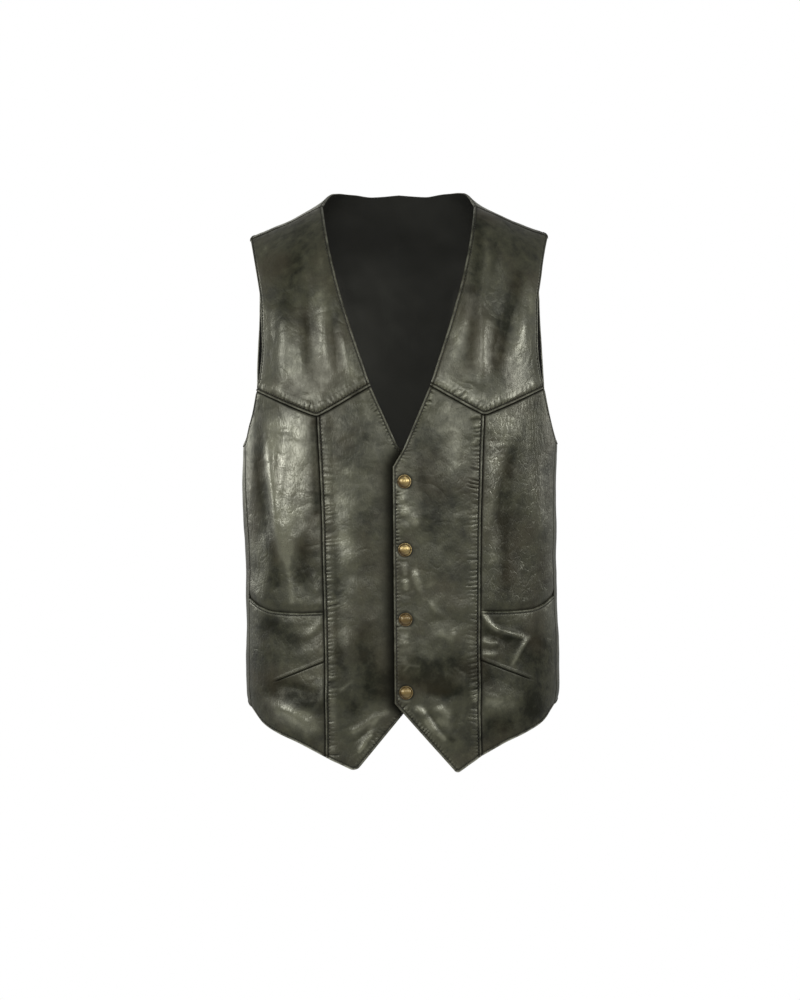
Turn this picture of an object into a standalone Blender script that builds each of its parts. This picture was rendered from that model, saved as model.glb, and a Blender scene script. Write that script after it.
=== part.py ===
"""Leather vest with a pointed yoke, slanted pocket fronts and four snaps.

Lengths are metres and angles degrees. +X is the wearer's left, -Y the front,
+Z up. The origin lies between the shoulders, at the height of the neck corners.
"""
import math
from collections import namedtuple

import bmesh
import bpy
import numpy as np
from mathutils import Vector

# Wall and seams
LEATHER = 0.0016
SEAM_GAP = 0.0003
RIDGE_WIDTH = 0.0034
RIDGE_FOOT = 0.0012
RIDGE_HEIGHT = 0.0008

# Form under the cloth
CHEST_Z = -0.210
SQUARENESS = 2.5
ARCH_POWER = 2.2
RIDGE_Y = 0.008
SHOULDER_SEAM_ANGLE = 77.0
CHEST_BACK_ANGLE = 180.0

Section = namedtuple("Section", "height half_width front_depth back_depth")
TORSO = (
    Section(-0.640, 0.1640, 0.116, 0.110),
    Section(-0.570, 0.1715, 0.118, 0.108),
    Section(-0.545, 0.1762, 0.118, 0.108),
    Section(-0.515, 0.1770, 0.118, 0.105),
    Section(-0.470, 0.1755, 0.117, 0.102),
    Section(-0.400, 0.1745, 0.118, 0.101),
    Section(-0.340, 0.1745, 0.120, 0.105),
    Section(-0.268, 0.1755, 0.120, 0.112),
    Section(-0.210, 0.1745, 0.117, 0.114),
    Section(-0.030, 0.1800, 0.117, 0.114),
)

Ridge = namedtuple("Ridge", "across height")
SHOULDER_RIDGE = (
    Ridge(0.000, 0.034),
    Ridge(0.040, 0.021),
    Ridge(0.0855, 0.002),
    Ridge(0.130, -0.0187),
    Ridge(0.169, -0.0335),
    Ridge(0.180, -0.038),
)

# How far the back stands up against the neck, near its top only
NeckStand = namedtuple("NeckStand", "across lift")
NECK_STAND = (
    NeckStand(0.000, 0.013),
    NeckStand(0.030, 0.017),
    NeckStand(0.050, 0.019),
    NeckStand(0.065, 0.017),
    NeckStand(0.080, 0.010),
    NeckStand(0.092, 0.004),
    NeckStand(0.110, 0.0),
)
NECK_STAND_RISE = (0.75, 1.0)
NECK_STAND_TURN = (80.0, 100.0)

# Cut lines of the fronts, half of the vest, as height and distance from the middle
CutPoint = namedtuple("CutPoint", "height across")
NECK_EDGE = (
    CutPoint(-0.003, 0.0855),
    CutPoint(-0.040, 0.0800),
    CutPoint(-0.089, 0.0695),
    CutPoint(-0.141, 0.0547),
    CutPoint(-0.193, 0.0377),
    CutPoint(-0.2085, 0.0325),
)
ARMHOLE_EDGE = (
    CutPoint(-0.0335, 0.1690),
    CutPoint(-0.081, 0.1592),
    CutPoint(-0.125, 0.1536),
    CutPoint(-0.161, 0.1533),
    CutPoint(-0.196, 0.1560),
    CutPoint(-0.211, 0.1592),
    CutPoint(-0.252, 0.1690),
    CutPoint(-0.268, 0.1725),
)
SIDE_SEAM = (
    CutPoint(-0.268, 0.1725),
    CutPoint(-0.300, 0.1710),
    CutPoint(-0.345, 0.1695),
    CutPoint(-0.400, 0.1690),
    CutPoint(-0.440, 0.1700),
    CutPoint(-0.500, 0.1715),
    CutPoint(-0.540, 0.1712),
    CutPoint(-0.570, 0.1680),
)
PANEL_SEAM = (
    CutPoint(-0.242, 0.0915),
    CutPoint(-0.311, 0.0884),
    CutPoint(-0.398, 0.0862),
    CutPoint(-0.550, 0.0848),
    CutPoint(-0.640, 0.0856),
)
SHOULDER_NECK_X = 0.0855
SHOULDER_TIP_X = 0.169
YOKE_POINT = CutPoint(-0.242, 0.0915)
YOKE_NECK = CutPoint(-0.2085, 0.0325)
YOKE_ARMHOLE_Z = -0.211
UNDERARM_Z = -0.268

# Pocket mouth, dart and hem, by share of the way from panel seam to side seam
PocketLine = namedtuple("PocketLine", "share mouth dart hem")
POCKET_LINES = (
    PocketLine(0.00, -0.4550, -0.5080, -0.6135),
    PocketLine(0.34, -0.4560, -0.5195, -0.5995),
    PocketLine(0.67, -0.4545, -0.5315, -0.5880),
    PocketLine(0.85, -0.4495, -0.5290, -0.5790),
    PocketLine(1.00, -0.4410, -0.5240, -0.5630),
)
POCKET_TUCK = 0.022
POCKET_SINK = 0.0024
POCKET_SLOPE_TOP = 0.010
POCKET_SLOPE_FOOT = -0.0033
DART_SHARE = 0.67
DART_STEP = 0.0010
DART_BAND = 0.0014

# Front edge and lap
LAP_AXIS_X = 0.0035
LAP_HALF = 0.0125
LAP_GAP = 0.0024
LAP_FADE_X = (0.018, 0.075)
LAP_FADE_Z = (-0.226, -0.264)
FRONT_TOP_Z = -0.297
FrontPoint = namedtuple("FrontPoint", "foot reach height")
FRONT_POINTS = {1: FrontPoint(-0.5545, 0.0550, -0.6320), -1: FrontPoint(-0.547, 0.0557, -0.6290)}
UPPER_CROSSING = CutPoint(-0.276, 0.0035)
LOWER_CROSSING = CutPoint(-0.273, 0.0041)

# Back panel
SHOULDER_GAP_ANGLE = 0.3
BACK_HEM_SIDE_Z = -0.5630
BACK_HEM_MIDDLE_Z = -0.548
BACK_HEM_TURN = (75.0, 125.0)
BACK_FOLD_FADE_Y = (0.0, 0.04)
FRONT_FOLD_FADE_Y = (0.0, 0.035)
ArmholeTurn = namedtuple("ArmholeTurn", "height angle")
ARMHOLE_UNDER = (
    ArmholeTurn(-0.268, 78.9),
    ArmholeTurn(-0.2690, 85.0),
    ArmholeTurn(-0.2650, 92.0),
    ArmholeTurn(-0.2530, 99.0),
    ArmholeTurn(-0.2340, 105.0),
    ArmholeTurn(-0.210, 109.5),
)
ARMHOLE_CORNER_ANGLE = 109.5
BackEdge = namedtuple("BackEdge", "share across")
ARMHOLE_BACK = (
    BackEdge(0.00, 0.1655),
    BackEdge(0.25, 0.1620),
    BackEdge(0.50, 0.1608),
    BackEdge(0.75, 0.1632),
    BackEdge(1.00, 0.1690),
)
NeckTurn = namedtuple("NeckTurn", "across angle")
BACK_NECK = (
    NeckTurn(0.000, 117.0),
    NeckTurn(0.030, 115.5),
    NeckTurn(0.050, 112.0),
    NeckTurn(0.060, 109.0),
    NeckTurn(0.072, 102.0),
    NeckTurn(0.080, 92.0),
    NeckTurn(0.0855, 77.0),
)
NECK_BASE = NeckTurn(0.060, 109.0)

# Largest folds: middle, lean from upright, half length, half width, height
Fold = namedtuple("Fold", "across height lean half_length half_width rise")
FRONT_FOLDS = (
    Fold(-0.128, -0.325, 8.0, 0.085, 0.015, 0.0042),
    Fold(-0.154, -0.350, 6.0, 0.080, 0.013, -0.0024),
    Fold(0.118, -0.345, -6.0, 0.090, 0.015, -0.0036),
    Fold(0.147, -0.335, -4.0, 0.080, 0.014, 0.0026),
    Fold(-0.100, -0.145, 4.0, 0.060, 0.014, -0.0032),
    Fold(-0.128, -0.160, 2.0, 0.060, 0.014, 0.0024),
    Fold(0.117, -0.140, -14.0, 0.065, 0.015, -0.0036),
    Fold(0.084, -0.160, -4.0, 0.055, 0.014, 0.0026),
    Fold(-0.118, -0.556, 76.0, 0.045, 0.013, 0.0034),
    Fold(0.104, -0.548, -72.0, 0.040, 0.013, 0.0030),
    Fold(-0.046, -0.420, 4.0, 0.110, 0.016, 0.0020),
    Fold(0.056, -0.430, -3.0, 0.120, 0.016, 0.0020),
    Fold(-0.177, -0.335, 0.0, 0.070, 0.016, 0.0042),
)
BACK_FOLDS = (
    Fold(-0.096, -0.470, 5.0, 0.110, 0.020, -0.0042),
    Fold(-0.030, -0.490, -2.0, 0.090, 0.018, 0.0032),
    Fold(0.040, -0.480, 3.0, 0.100, 0.019, -0.0036),
    Fold(0.110, -0.460, -5.0, 0.105, 0.020, 0.0036),
    Fold(-0.118, -0.170, 9.0, 0.070, 0.014, -0.0030),
    Fold(0.122, -0.165, -9.0, 0.070, 0.014, -0.0030),
)

# Snaps
SNAP_HEIGHTS = (-0.313, -0.387, -0.463, -0.5425)
SNAP_STEPS = 20
PART_GAP = 0.0003
Turned = namedtuple("Turned", "radius height")
SNAP_CAP = (
    Turned(0.0, 0.0036),
    Turned(0.0028, 0.0034),
    Turned(0.0051, 0.0026),
    Turned(0.0064, 0.0016),
    Turned(0.0070, 0.0015),
    Turned(0.0075, 0.0010),
    Turned(0.0073, 0.0),
    Turned(0.0, 0.0),
)
SNAP_SOCKET = (
    Turned(0.0, 0.0018),
    Turned(0.0046, 0.0018),
    Turned(0.0052, 0.0012),
    Turned(0.0052, 0.0),
    Turned(0.0, 0.0),
)
SNAP_POST = (
    Turned(0.0, 0.0010),
    Turned(0.0040, 0.0013),
    Turned(0.0055, 0.0007),
    Turned(0.0055, 0.0),
    Turned(0.0, 0.0),
)

# Grid steps along and across the panels
STEP = 0.0125
SHOULDER_ROWS = (0.3, 0.65)
NECK_ROWS = 8
FRONT_ROWS = 20
CUTAWAY_ROWS = 8
BACK_SIDE_COLUMNS = 6
BACK_SHOULDER_COLUMNS = 8
BACK_NECK_COLUMNS = 8
BACK_LOWER_ROWS = 16
BACK_UPPER_ROWS = 9
BACK_SHOULDER_ROWS = 5
ARC_SAMPLES = 400
PROBE = 0.0002
PROBE_ANGLE = 0.1
MERGE = 1e-6

Finish = namedtuple("Finish", "colour roughness metallic")
LEATHER_FINISH = Finish((0.055, 0.054, 0.043, 1.0), 0.45, 0.0)
BRASS_FINISH = Finish((0.48, 0.36, 0.15, 1.0), 0.35, 1.0)


def column(table, name):
    """One named column of a table."""
    return np.array([getattr(row, name) for row in table])


def curve(keys, values, at):
    """Smooth curve through table values that never overshoots them."""
    order = np.argsort(keys)
    keys = np.asarray(keys, float)[order]
    values = np.asarray(values, float)[order]
    at = np.clip(np.asarray(at, float), keys[0], keys[-1])
    gap = np.diff(keys)
    slope = np.diff(values) / gap
    tangent = np.zeros(len(keys))
    same = slope[:-1] * slope[1:] > 0
    weight_a = 2 * gap[1:] + gap[:-1]
    weight_b = gap[1:] + 2 * gap[:-1]
    safe_a = np.where(same, slope[:-1], 1.0)
    safe_b = np.where(same, slope[1:], 1.0)
    mean = (weight_a + weight_b) / (weight_a / safe_a + weight_b / safe_b)
    tangent[1:-1] = np.where(same, mean, 0.0)
    tangent[0] = slope[0]
    tangent[-1] = slope[-1]
    cell = np.clip(np.searchsorted(keys, at, side="right") - 1, 0, len(gap) - 1)
    part = (at - keys[cell]) / gap[cell]
    rest = 1 - part
    start = values[cell] * (1 + 2 * part) * rest ** 2 + tangent[cell] * gap[cell] * part * rest ** 2
    end = values[cell + 1] * (3 - 2 * part) * part ** 2 - tangent[cell + 1] * gap[cell] * rest * part ** 2
    return start + end


def lookup(table, key, value, at):
    """Smooth value of one table column against another."""
    return curve(column(table, key), column(table, value), at)


def ease(start, end, at):
    """Smooth 0 to 1 as a value goes from start to end."""
    part = np.clip((np.asarray(at, float) - start) / (end - start), 0, 1)
    return part * part * (3 - 2 * part)


def ridge_height(x):
    """Height of the shoulder ridge over a distance from the middle."""
    return lookup(SHOULDER_RIDGE, "across", "height", np.abs(x))


def reach(x, half_width):
    """Share of the full depth that a section keeps at a distance from the middle."""
    near = np.clip(np.abs(x) / half_width, 0, 1)
    return (1 - near ** SQUARENESS) ** (1 / SQUARENESS)


def front_point(x, z):
    """Point on the front of the form."""
    half_width = lookup(TORSO, "height", "half_width", z)
    depth = lookup(TORSO, "height", "front_depth", z)
    rise = np.clip((z - CHEST_Z) / (ridge_height(x) - CHEST_Z), 0, 1)
    lean = (1 - rise ** ARCH_POWER) ** (1 / ARCH_POWER)
    y = RIDGE_Y * rise ** 2 - depth * reach(x, half_width) * lean
    return np.stack([x, y, z], axis=-1)


def arch_point(x, angle):
    """Point on the arch over the shoulder: 0 front chest, 90 ridge, 180 back chest."""
    turn = np.radians(angle)
    up = np.abs(np.sin(turn)) ** (2 / ARCH_POWER)
    along = np.sign(np.cos(turn)) * np.abs(np.cos(turn)) ** (2 / ARCH_POWER)
    z = CHEST_Z + (ridge_height(x) - CHEST_Z) * up
    half_width = lookup(TORSO, "height", "half_width", z)
    front = lookup(TORSO, "height", "front_depth", z)
    back = lookup(TORSO, "height", "back_depth", z)
    depth = np.where(along > 0, front, back)
    y = RIDGE_Y * up ** 2 - depth * reach(x, half_width) * along
    stand = lookup(NECK_STAND, "across", "lift", np.abs(x))
    stand = stand * ease(*NECK_STAND_RISE, up) * ease(*NECK_STAND_TURN, angle)
    return np.stack([x, y, z + stand], axis=-1)


def round_point(angle, z):
    """Point round the body at a height: 0 front middle, 90 left side, 180 back middle."""
    turn = np.radians(angle)
    half_width = lookup(TORSO, "height", "half_width", z)
    front = lookup(TORSO, "height", "front_depth", z)
    back = lookup(TORSO, "height", "back_depth", z)
    side = np.sin(turn)
    ahead = np.cos(turn)
    power = 2 / SQUARENESS
    x = half_width * np.sign(side) * np.abs(side) ** power
    y = -np.where(ahead > 0, front, back) * np.sign(ahead) * np.abs(ahead) ** power
    return np.stack([x, y, z + 0 * x], axis=-1)


def fold_rise(folds, x, z):
    """How far the folds lift the wall off the form."""
    total = np.zeros(np.shape(x))
    for fold in folds:
        lean = math.radians(fold.lean)
        along = (x - fold.across) * math.sin(lean) + (z - fold.height) * math.cos(lean)
        beside = (x - fold.across) * math.cos(lean) - (z - fold.height) * math.sin(lean)
        shape = np.exp(-(beside / fold.half_width) ** 2 - (along / fold.half_length) ** 2)
        total = total + fold.rise * shape
    return total


def stations(length, step, ridge_start=False, ridge_end=False):
    """Shares of a length at even steps, with two more lines where an edge has a ridge."""
    start = RIDGE_WIDTH + RIDGE_FOOT if ridge_start else 0.0
    end = RIDGE_WIDTH + RIDGE_FOOT if ridge_end else 0.0
    count = max(2, round((length - start - end) / step))
    places = list(np.linspace(start, length - end, count + 1))
    if ridge_start:
        places = [0.0, RIDGE_WIDTH] + places
    if ridge_end:
        places = places + [length - RIDGE_WIDTH, length]
    return np.array(places) / length


def along_line(points, shares):
    """Points at shares of the length of a line."""
    points = np.asarray(points, float)
    length = np.concatenate([[0.0], np.cumsum(np.linalg.norm(np.diff(points, axis=0), axis=1))])
    at = np.asarray(shares) * length[-1]
    return np.stack([np.interp(at, length, points[:, axis]) for axis in range(2)], axis=-1)


def patch(top, bottom, inner, outer, across, down):
    """Grid of cut points between four edges that share their corners."""
    u = across[None, :, None]
    v = down[:, None, None]
    between = (1 - v) * top[None] + v * bottom[None] + (1 - u) * inner[:, None] + u * outer[:, None]
    corners = (1 - u) * (1 - v) * top[0] + u * (1 - v) * top[-1]
    corners = corners + (1 - u) * v * bottom[0] + u * v * bottom[-1]
    return between - corners


def directions(form, first, second, first_step, second_step):
    """Outward directions of a form at its two coordinates."""
    along = form(first + first_step, second) - form(first - first_step, second)
    aside = form(first, second + second_step) - form(first, second - second_step)
    normal = np.cross(along, aside)
    normal = normal / np.linalg.norm(normal, axis=-1, keepdims=True)
    point = form(first, second)
    inside = np.zeros(point.shape)
    inside[..., 2] = np.minimum(point[..., 2], CHEST_Z)
    outward = np.sum(normal * (point - inside), axis=-1, keepdims=True)
    return normal * np.sign(outward)


def wall(name, points, normals, rise, relief, material, parent, kept=None):
    """One panel as a closed wall: a plain inner face, and relief on the outer face."""
    outer = points + normals * (rise + relief)[..., None]
    inner = points + normals * (rise - LEATHER)[..., None]
    if kept is None:
        kept = np.ones((points.shape[0] - 1, points.shape[1] - 1), bool)
    mesh = bmesh.new()
    sheets = []
    for sheet in (outer, inner):
        verts = {}
        for j, i in np.argwhere(kept).tolist():
            corners = ((j, i), (j, i + 1), (j + 1, i + 1), (j + 1, i))
            for spot in corners:
                if spot not in verts:
                    verts[spot] = mesh.verts.new(sheet[spot])
            mesh.faces.new([verts[spot] for spot in corners])
        sheets.append(verts)
    twin = {sheets[0][spot]: sheets[1][spot] for spot in sheets[0]}
    rim = [edge for edge in mesh.edges if edge.is_boundary and edge.verts[0] in twin]
    for edge in rim:
        start, end = edge.verts
        mesh.faces.new((start, end, twin[end], twin[start]))
    bmesh.ops.recalc_face_normals(mesh, faces=mesh.faces)
    return finish(name, mesh, material, parent)


def finish(name, mesh, material, parent):
    """Turn a mesh into a named object of the vest."""
    data = bpy.data.meshes.new(name)
    mesh.to_mesh(data)
    mesh.free()
    data.materials.append(material)
    thing = bpy.data.objects.new(name, data)
    thing.parent = parent
    bpy.context.collection.objects.link(thing)
    return thing


def pocket_line(name, share):
    """Height of the pocket mouth, dart or hem at a share of the side panel's width."""
    return lookup(POCKET_LINES, "share", name, share)


def panel_seam(z):
    """Distance of the seam between centre and side panel from the middle."""
    return lookup(PANEL_SEAM, "height", "across", z)


def side_edge(z):
    """Outer edge of the fronts: the armhole, then the side seam."""
    armhole = lookup(ARMHOLE_EDGE, "height", "across", z)
    seam = lookup(SIDE_SEAM, "height", "across", z)
    return np.where(z > UNDERARM_Z, armhole, seam)


def side_cut(share, z):
    """Cut points of the side panels at shares of the way from seam to outer edge."""
    inner = panel_seam(z) + SEAM_GAP / 2
    outer = side_edge(z) - SEAM_GAP / 2
    return np.stack([inner + (outer - inner) * share, z], axis=-1)


def side_shares():
    """Column shares that yoke, side panel and pocket front have in common."""
    return stations(side_edge(CHEST_Z) - YOKE_POINT.across, STEP)


def yoke_seam_side(share):
    """Yoke seam from the yoke point to the armhole."""
    z = YOKE_POINT.height + (YOKE_ARMHOLE_Z - YOKE_POINT.height) * share
    return side_cut(share, z)


def yoke_seam_centre(shares):
    """Yoke seam from the neck edge to the yoke point."""
    start = np.array([YOKE_NECK.across, YOKE_NECK.height])
    end = np.array([YOKE_POINT.across, YOKE_POINT.height])
    return start + (end - start) * shares[:, None]


def lap_rise(x, z, hand):
    """The left front rides over the right one near the front edge."""
    if hand < 0:
        return np.zeros(np.shape(x))
    beside = 1 - ease(LAP_FADE_X[0], LAP_FADE_X[1], x)
    below = ease(LAP_FADE_Z[0], LAP_FADE_Z[1], z)
    return (LEATHER + LAP_GAP) * beside * below


def front_wall(name, cut, hand, relief, extra, material, parent):
    """A front panel from its cut points, mirrored for the right hand."""
    x = cut[..., 0] * hand
    z = cut[..., 1]
    rise = fold_rise(FRONT_FOLDS, x, z) + lap_rise(x, z, hand) + extra
    normals = directions(front_point, x, z, PROBE, PROBE)
    return wall(name, front_point(x, z), normals, rise, relief, material, parent)


def centre_columns(length):
    """Column shares of a centre panel, with the ridge lines at its seam."""
    return stations(length, STEP, ridge_end=True)


def yoke(side, hand, material, parent):
    """Pointed front yoke."""
    centre = centre_columns(YOKE_POINT.across - YOKE_NECK.across)
    bottom = np.concatenate([yoke_seam_centre(centre)[:-1], yoke_seam_side(side_shares())])
    bottom[:, 1] += SEAM_GAP
    split = (YOKE_POINT.across - YOKE_NECK.across) / (side_edge(YOKE_ARMHOLE_Z) - YOKE_NECK.across)
    across = np.concatenate([centre[:-1] * split, split + side_shares() * (1 - split)])
    seam_x = SHOULDER_NECK_X + (SHOULDER_TIP_X - SHOULDER_NECK_X) * across
    seam = arch_point(seam_x, np.full(len(across), SHOULDER_SEAM_ANGLE))
    top = seam[:, [0, 2]]
    down = stations(top[0, 1] - YOKE_NECK.height, STEP, ridge_end=True)
    down = np.concatenate([[0.0], down[1] * np.array(SHOULDER_ROWS), down[1:]])
    neck_z = top[0, 1] + (bottom[0, 1] - top[0, 1]) * down
    inner = np.stack([lookup(NECK_EDGE, "height", "across", neck_z), neck_z], axis=-1)
    inner[0] = top[0]
    inner[-1] = bottom[0]
    arm_z = top[-1, 1] + (bottom[-1, 1] - top[-1, 1]) * down
    outer = np.stack([side_edge(arm_z), arm_z], axis=-1)
    outer[0] = top[-1]
    outer[-1] = bottom[-1]
    cut = patch(top, bottom, inner, outer, across, down)
    relief = np.zeros(cut.shape[:2])
    relief[-2:] = RIDGE_HEIGHT
    front_wall("front_yoke_" + side, cut, hand, relief, 0.0, material, parent)


def front_edge(hand):
    """Neck edge, front edge and cutaway of a centre panel, from the yoke seam to the hem point."""
    axis = LAP_AXIS_X * hand
    crossing = UPPER_CROSSING if hand > 0 else LOWER_CROSSING
    point = FRONT_POINTS[hand]
    edge_x = axis - LAP_HALF
    neck = [(YOKE_NECK.across, YOKE_NECK.height - SEAM_GAP),
            (crossing.across, crossing.height), (edge_x, FRONT_TOP_Z)]
    middle = [neck[-1], (edge_x, point.foot)]
    cutaway = [middle[-1], (axis + point.reach, point.height)]
    parts = []
    for line, count in ((neck, NECK_ROWS), (middle, FRONT_ROWS), (cutaway, CUTAWAY_ROWS)):
        parts.append(along_line(line, np.linspace(0, 1, count + 1))[:-1])
    parts.append(np.array([cutaway[-1]]))
    return np.concatenate(parts)


def centre_panel(side, hand, material, parent):
    """Centre front: V-neck edge, lapped front edge, pointed hem."""
    inner = front_edge(hand)
    lengths = np.concatenate([[0.0], np.cumsum(np.linalg.norm(np.diff(inner, axis=0), axis=1))])
    down = lengths / lengths[-1]
    top_z = YOKE_POINT.height - SEAM_GAP
    hem_z = pocket_line("hem", 0.0)
    seam_z = top_z + (hem_z - top_z) * down
    outer = np.stack([panel_seam(seam_z) - SEAM_GAP / 2, seam_z], axis=-1)
    across = centre_columns(panel_seam(FRONT_POINTS[hand].foot) - LAP_AXIS_X * hand + LAP_HALF)
    top = along_line([inner[0], outer[0]], across)
    bottom = along_line([inner[-1], outer[-1]], across)
    cut = patch(top, bottom, inner, outer, across, down)
    relief = np.zeros(cut.shape[:2])
    relief[:, -2:] = RIDGE_HEIGHT
    front_wall("front_centre_" + side, cut, hand, relief, 0.0, material, parent)


def side_panel(side, hand, material, parent):
    """Side front below the yoke, running on behind the pocket front."""
    share = side_shares()
    top = yoke_seam_side(share)[:, 1] - SEAM_GAP
    mouth = pocket_line("mouth", share)
    down = stations(YOKE_POINT.height - mouth[0], STEP)[:, None]
    seen = top + (mouth + POCKET_SLOPE_TOP - top) * down
    middle = mouth + (POCKET_SLOPE_TOP + POCKET_SLOPE_FOOT) / 2
    z = np.concatenate([seen, [middle, mouth + POCKET_SLOPE_FOOT, mouth - POCKET_TUCK]])
    cut = side_cut(np.broadcast_to(share, z.shape), z)
    sink = -POCKET_SINK * (1 - ease(POCKET_SLOPE_FOOT, POCKET_SLOPE_TOP, z - mouth))
    front_wall("front_side_" + side, cut, hand, np.zeros(z.shape), sink, material, parent)


def pocket_front(side, hand, material, parent):
    """Pocket front: ridged mouth, one slanted dart, hem."""
    share = side_shares()
    mouth = pocket_line("mouth", share)
    dart = pocket_line("dart", share)
    hem = pocket_line("hem", share)
    upper = stations(mouth[0] - dart[0], STEP, ridge_start=True)[:, None]
    lower = stations(dart[0] - hem[0], STEP)[:, None]
    above = mouth + (dart + DART_BAND / 2 - mouth) * upper
    below = dart - DART_BAND / 2 + (hem - dart + DART_BAND / 2) * lower
    z = np.concatenate([above, below])
    cut = side_cut(np.broadcast_to(share, z.shape), z)
    relief = np.zeros(z.shape)
    relief[:2] = RIDGE_HEIGHT
    relief[len(above) - 1] = DART_STEP * (1 - ease(DART_SHARE / 2, DART_SHARE, share))
    front_wall("pocket_front_" + side, cut, hand, relief, 0.0, material, parent)


def even_angles(z, start, end, count):
    """Angles that step evenly by length round a section at one height."""
    dense = np.linspace(start, end, ARC_SAMPLES)
    line = round_point(dense, np.full(ARC_SAMPLES, z))
    length = np.concatenate([[0.0], np.cumsum(np.linalg.norm(np.diff(line, axis=0), axis=1))])
    return np.interp(np.linspace(0, length[-1], count + 1), length, dense)


def side_seam_angle(z):
    """Angle of the side seam round the body."""
    half_width = lookup(TORSO, "height", "half_width", z)
    share = (lookup(SIDE_SEAM, "height", "across", z) + SEAM_GAP / 2) / half_width
    return math.degrees(math.asin(float(share) ** (SQUARENESS / 2)))


def back_lower_rows():
    """Angles and heights of the back from the hem to the chest, under the armholes too."""
    angles = []
    heights = []
    full_turn = 2 * CHEST_BACK_ANGLE
    middle_count = 2 * BACK_SHOULDER_COLUMNS + BACK_NECK_COLUMNS
    for part in np.linspace(0, 1, BACK_LOWER_ROWS + 1):
        side_z = BACK_HEM_SIDE_Z + (UNDERARM_Z - BACK_HEM_SIDE_Z) * part
        seam = side_seam_angle(side_z)
        side = even_angles(side_z, seam, ARMHOLE_CORNER_ANGLE, BACK_SIDE_COLUMNS)
        far = full_turn - ARMHOLE_CORNER_ANGLE
        middle = even_angles(side_z, ARMHOLE_CORNER_ANGLE, far, middle_count)
        angle = np.concatenate([side[:-1], middle, full_turn - side[-2::-1]])
        turned_back = CHEST_BACK_ANGLE - np.abs(angle - CHEST_BACK_ANGLE)
        hem = BACK_HEM_SIDE_Z + (BACK_HEM_MIDDLE_Z - BACK_HEM_SIDE_Z) * ease(*BACK_HEM_TURN, turned_back)
        top = lookup(ARMHOLE_UNDER, "angle", "height", turned_back)
        angles.append(angle)
        heights.append(hem + (top - hem) * part)
    return np.array(angles), np.array(heights)


def back_armhole(angle):
    """Distance of the armhole's back edge from the middle, up the arch."""
    share = (CHEST_BACK_ANGLE - angle) / (CHEST_BACK_ANGLE - SHOULDER_SEAM_ANGLE)
    return lookup(ARMHOLE_BACK, "share", "across", share)


def back_upper_rows(chest_x):
    """Distances and arch angles of the back from the chest to the base of the neck."""
    edge = back_armhole(NECK_BASE.angle)
    shoulder = np.linspace(edge, NECK_BASE.across, BACK_SHOULDER_COLUMNS + 1)
    neck = np.linspace(NECK_BASE.across, -NECK_BASE.across, BACK_NECK_COLUMNS + 1)
    top_x = np.concatenate([shoulder, neck[1:-1], -shoulder[::-1]])
    near = np.minimum(np.abs(top_x), NECK_BASE.across)
    top_angle = lookup(BACK_NECK, "across", "angle", near)
    part = np.linspace(0, 1, BACK_UPPER_ROWS + 1)[1:, None]
    angle = CHEST_BACK_ANGLE + (top_angle - CHEST_BACK_ANGLE) * part
    edge = back_armhole(angle[:, :1])
    below = chest_x * edge / chest_x[0]
    above = top_x * edge / top_x[0]
    return below + (above - below) * part, angle


def back_shoulder_rows():
    """Distances and arch angles of one shoulder, from the base of the neck to its seam."""
    seam = SHOULDER_SEAM_ANGLE + SHOULDER_GAP_ANGLE
    angle = np.linspace(NECK_BASE.angle, seam, BACK_SHOULDER_ROWS + 1)[1:, None]
    neck = lookup(BACK_NECK, "angle", "across", angle)
    part = np.linspace(0, 1, BACK_SHOULDER_COLUMNS + 1)
    edge = back_armhole(angle)
    return edge + (neck - edge) * part, np.broadcast_to(angle, (BACK_SHOULDER_ROWS, len(part)))


def arch_block(x, angle, columns, start):
    """Points and outward directions of rows on the arch, set at a column of a wider grid."""
    end = columns - start - x.shape[1]
    spare = ((0, 0), (start, end), (0, 0))
    normals = directions(arch_point, x, angle, PROBE, PROBE_ANGLE)
    return np.pad(arch_point(x, angle), spare), np.pad(normals, spare)


def back_panel(material, parent):
    """Back from hem to shoulder seams, with the back neck and the backs of the armholes."""
    angle, height = back_lower_rows()
    columns = angle.shape[1]
    lower = round_point(angle, height)
    lower_normals = directions(round_point, angle, height, PROBE_ANGLE, PROBE)
    first = BACK_SIDE_COLUMNS
    last = columns - BACK_SIDE_COLUMNS
    upper = arch_block(*back_upper_rows(lower[-1, first:last, 0]), columns, first)
    x, turn = back_shoulder_rows()
    left = arch_block(x, turn, columns, first)
    right = arch_block(-x[:, ::-1], turn, columns, last - x.shape[1])
    points = np.concatenate([lower, upper[0], left[0] + right[0]])
    normals = np.concatenate([lower_normals, upper[1], left[1] + right[1]])
    kept = np.ones((points.shape[0] - 1, columns - 1), bool)
    kept[BACK_LOWER_ROWS:, :first] = False
    kept[BACK_LOWER_ROWS:, last - 1:] = False
    neck = first + BACK_SHOULDER_COLUMNS
    kept[BACK_LOWER_ROWS + BACK_UPPER_ROWS:, neck:neck + BACK_NECK_COLUMNS] = False
    behind = ease(*BACK_FOLD_FADE_Y, points[..., 1])
    ahead = 1 - ease(*FRONT_FOLD_FADE_Y, points[..., 1])
    rise = fold_rise(BACK_FOLDS, points[..., 0], points[..., 2]) * behind
    rise = rise + fold_rise(FRONT_FOLDS, points[..., 0], points[..., 2]) * ahead
    wall("back", points, normals, rise, np.zeros(rise.shape), material, parent, kept)


def front_frame(x, z, lift):
    """Place and outward direction on the front of the vest, lifted off the form."""
    x = np.array(x)
    z = np.array(z)
    normal = Vector(directions(front_point, x, z, PROBE, PROBE))
    lift = lift + float(fold_rise(FRONT_FOLDS, x, z))
    return Vector(front_point(x, z)) + normal * lift, normal


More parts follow.
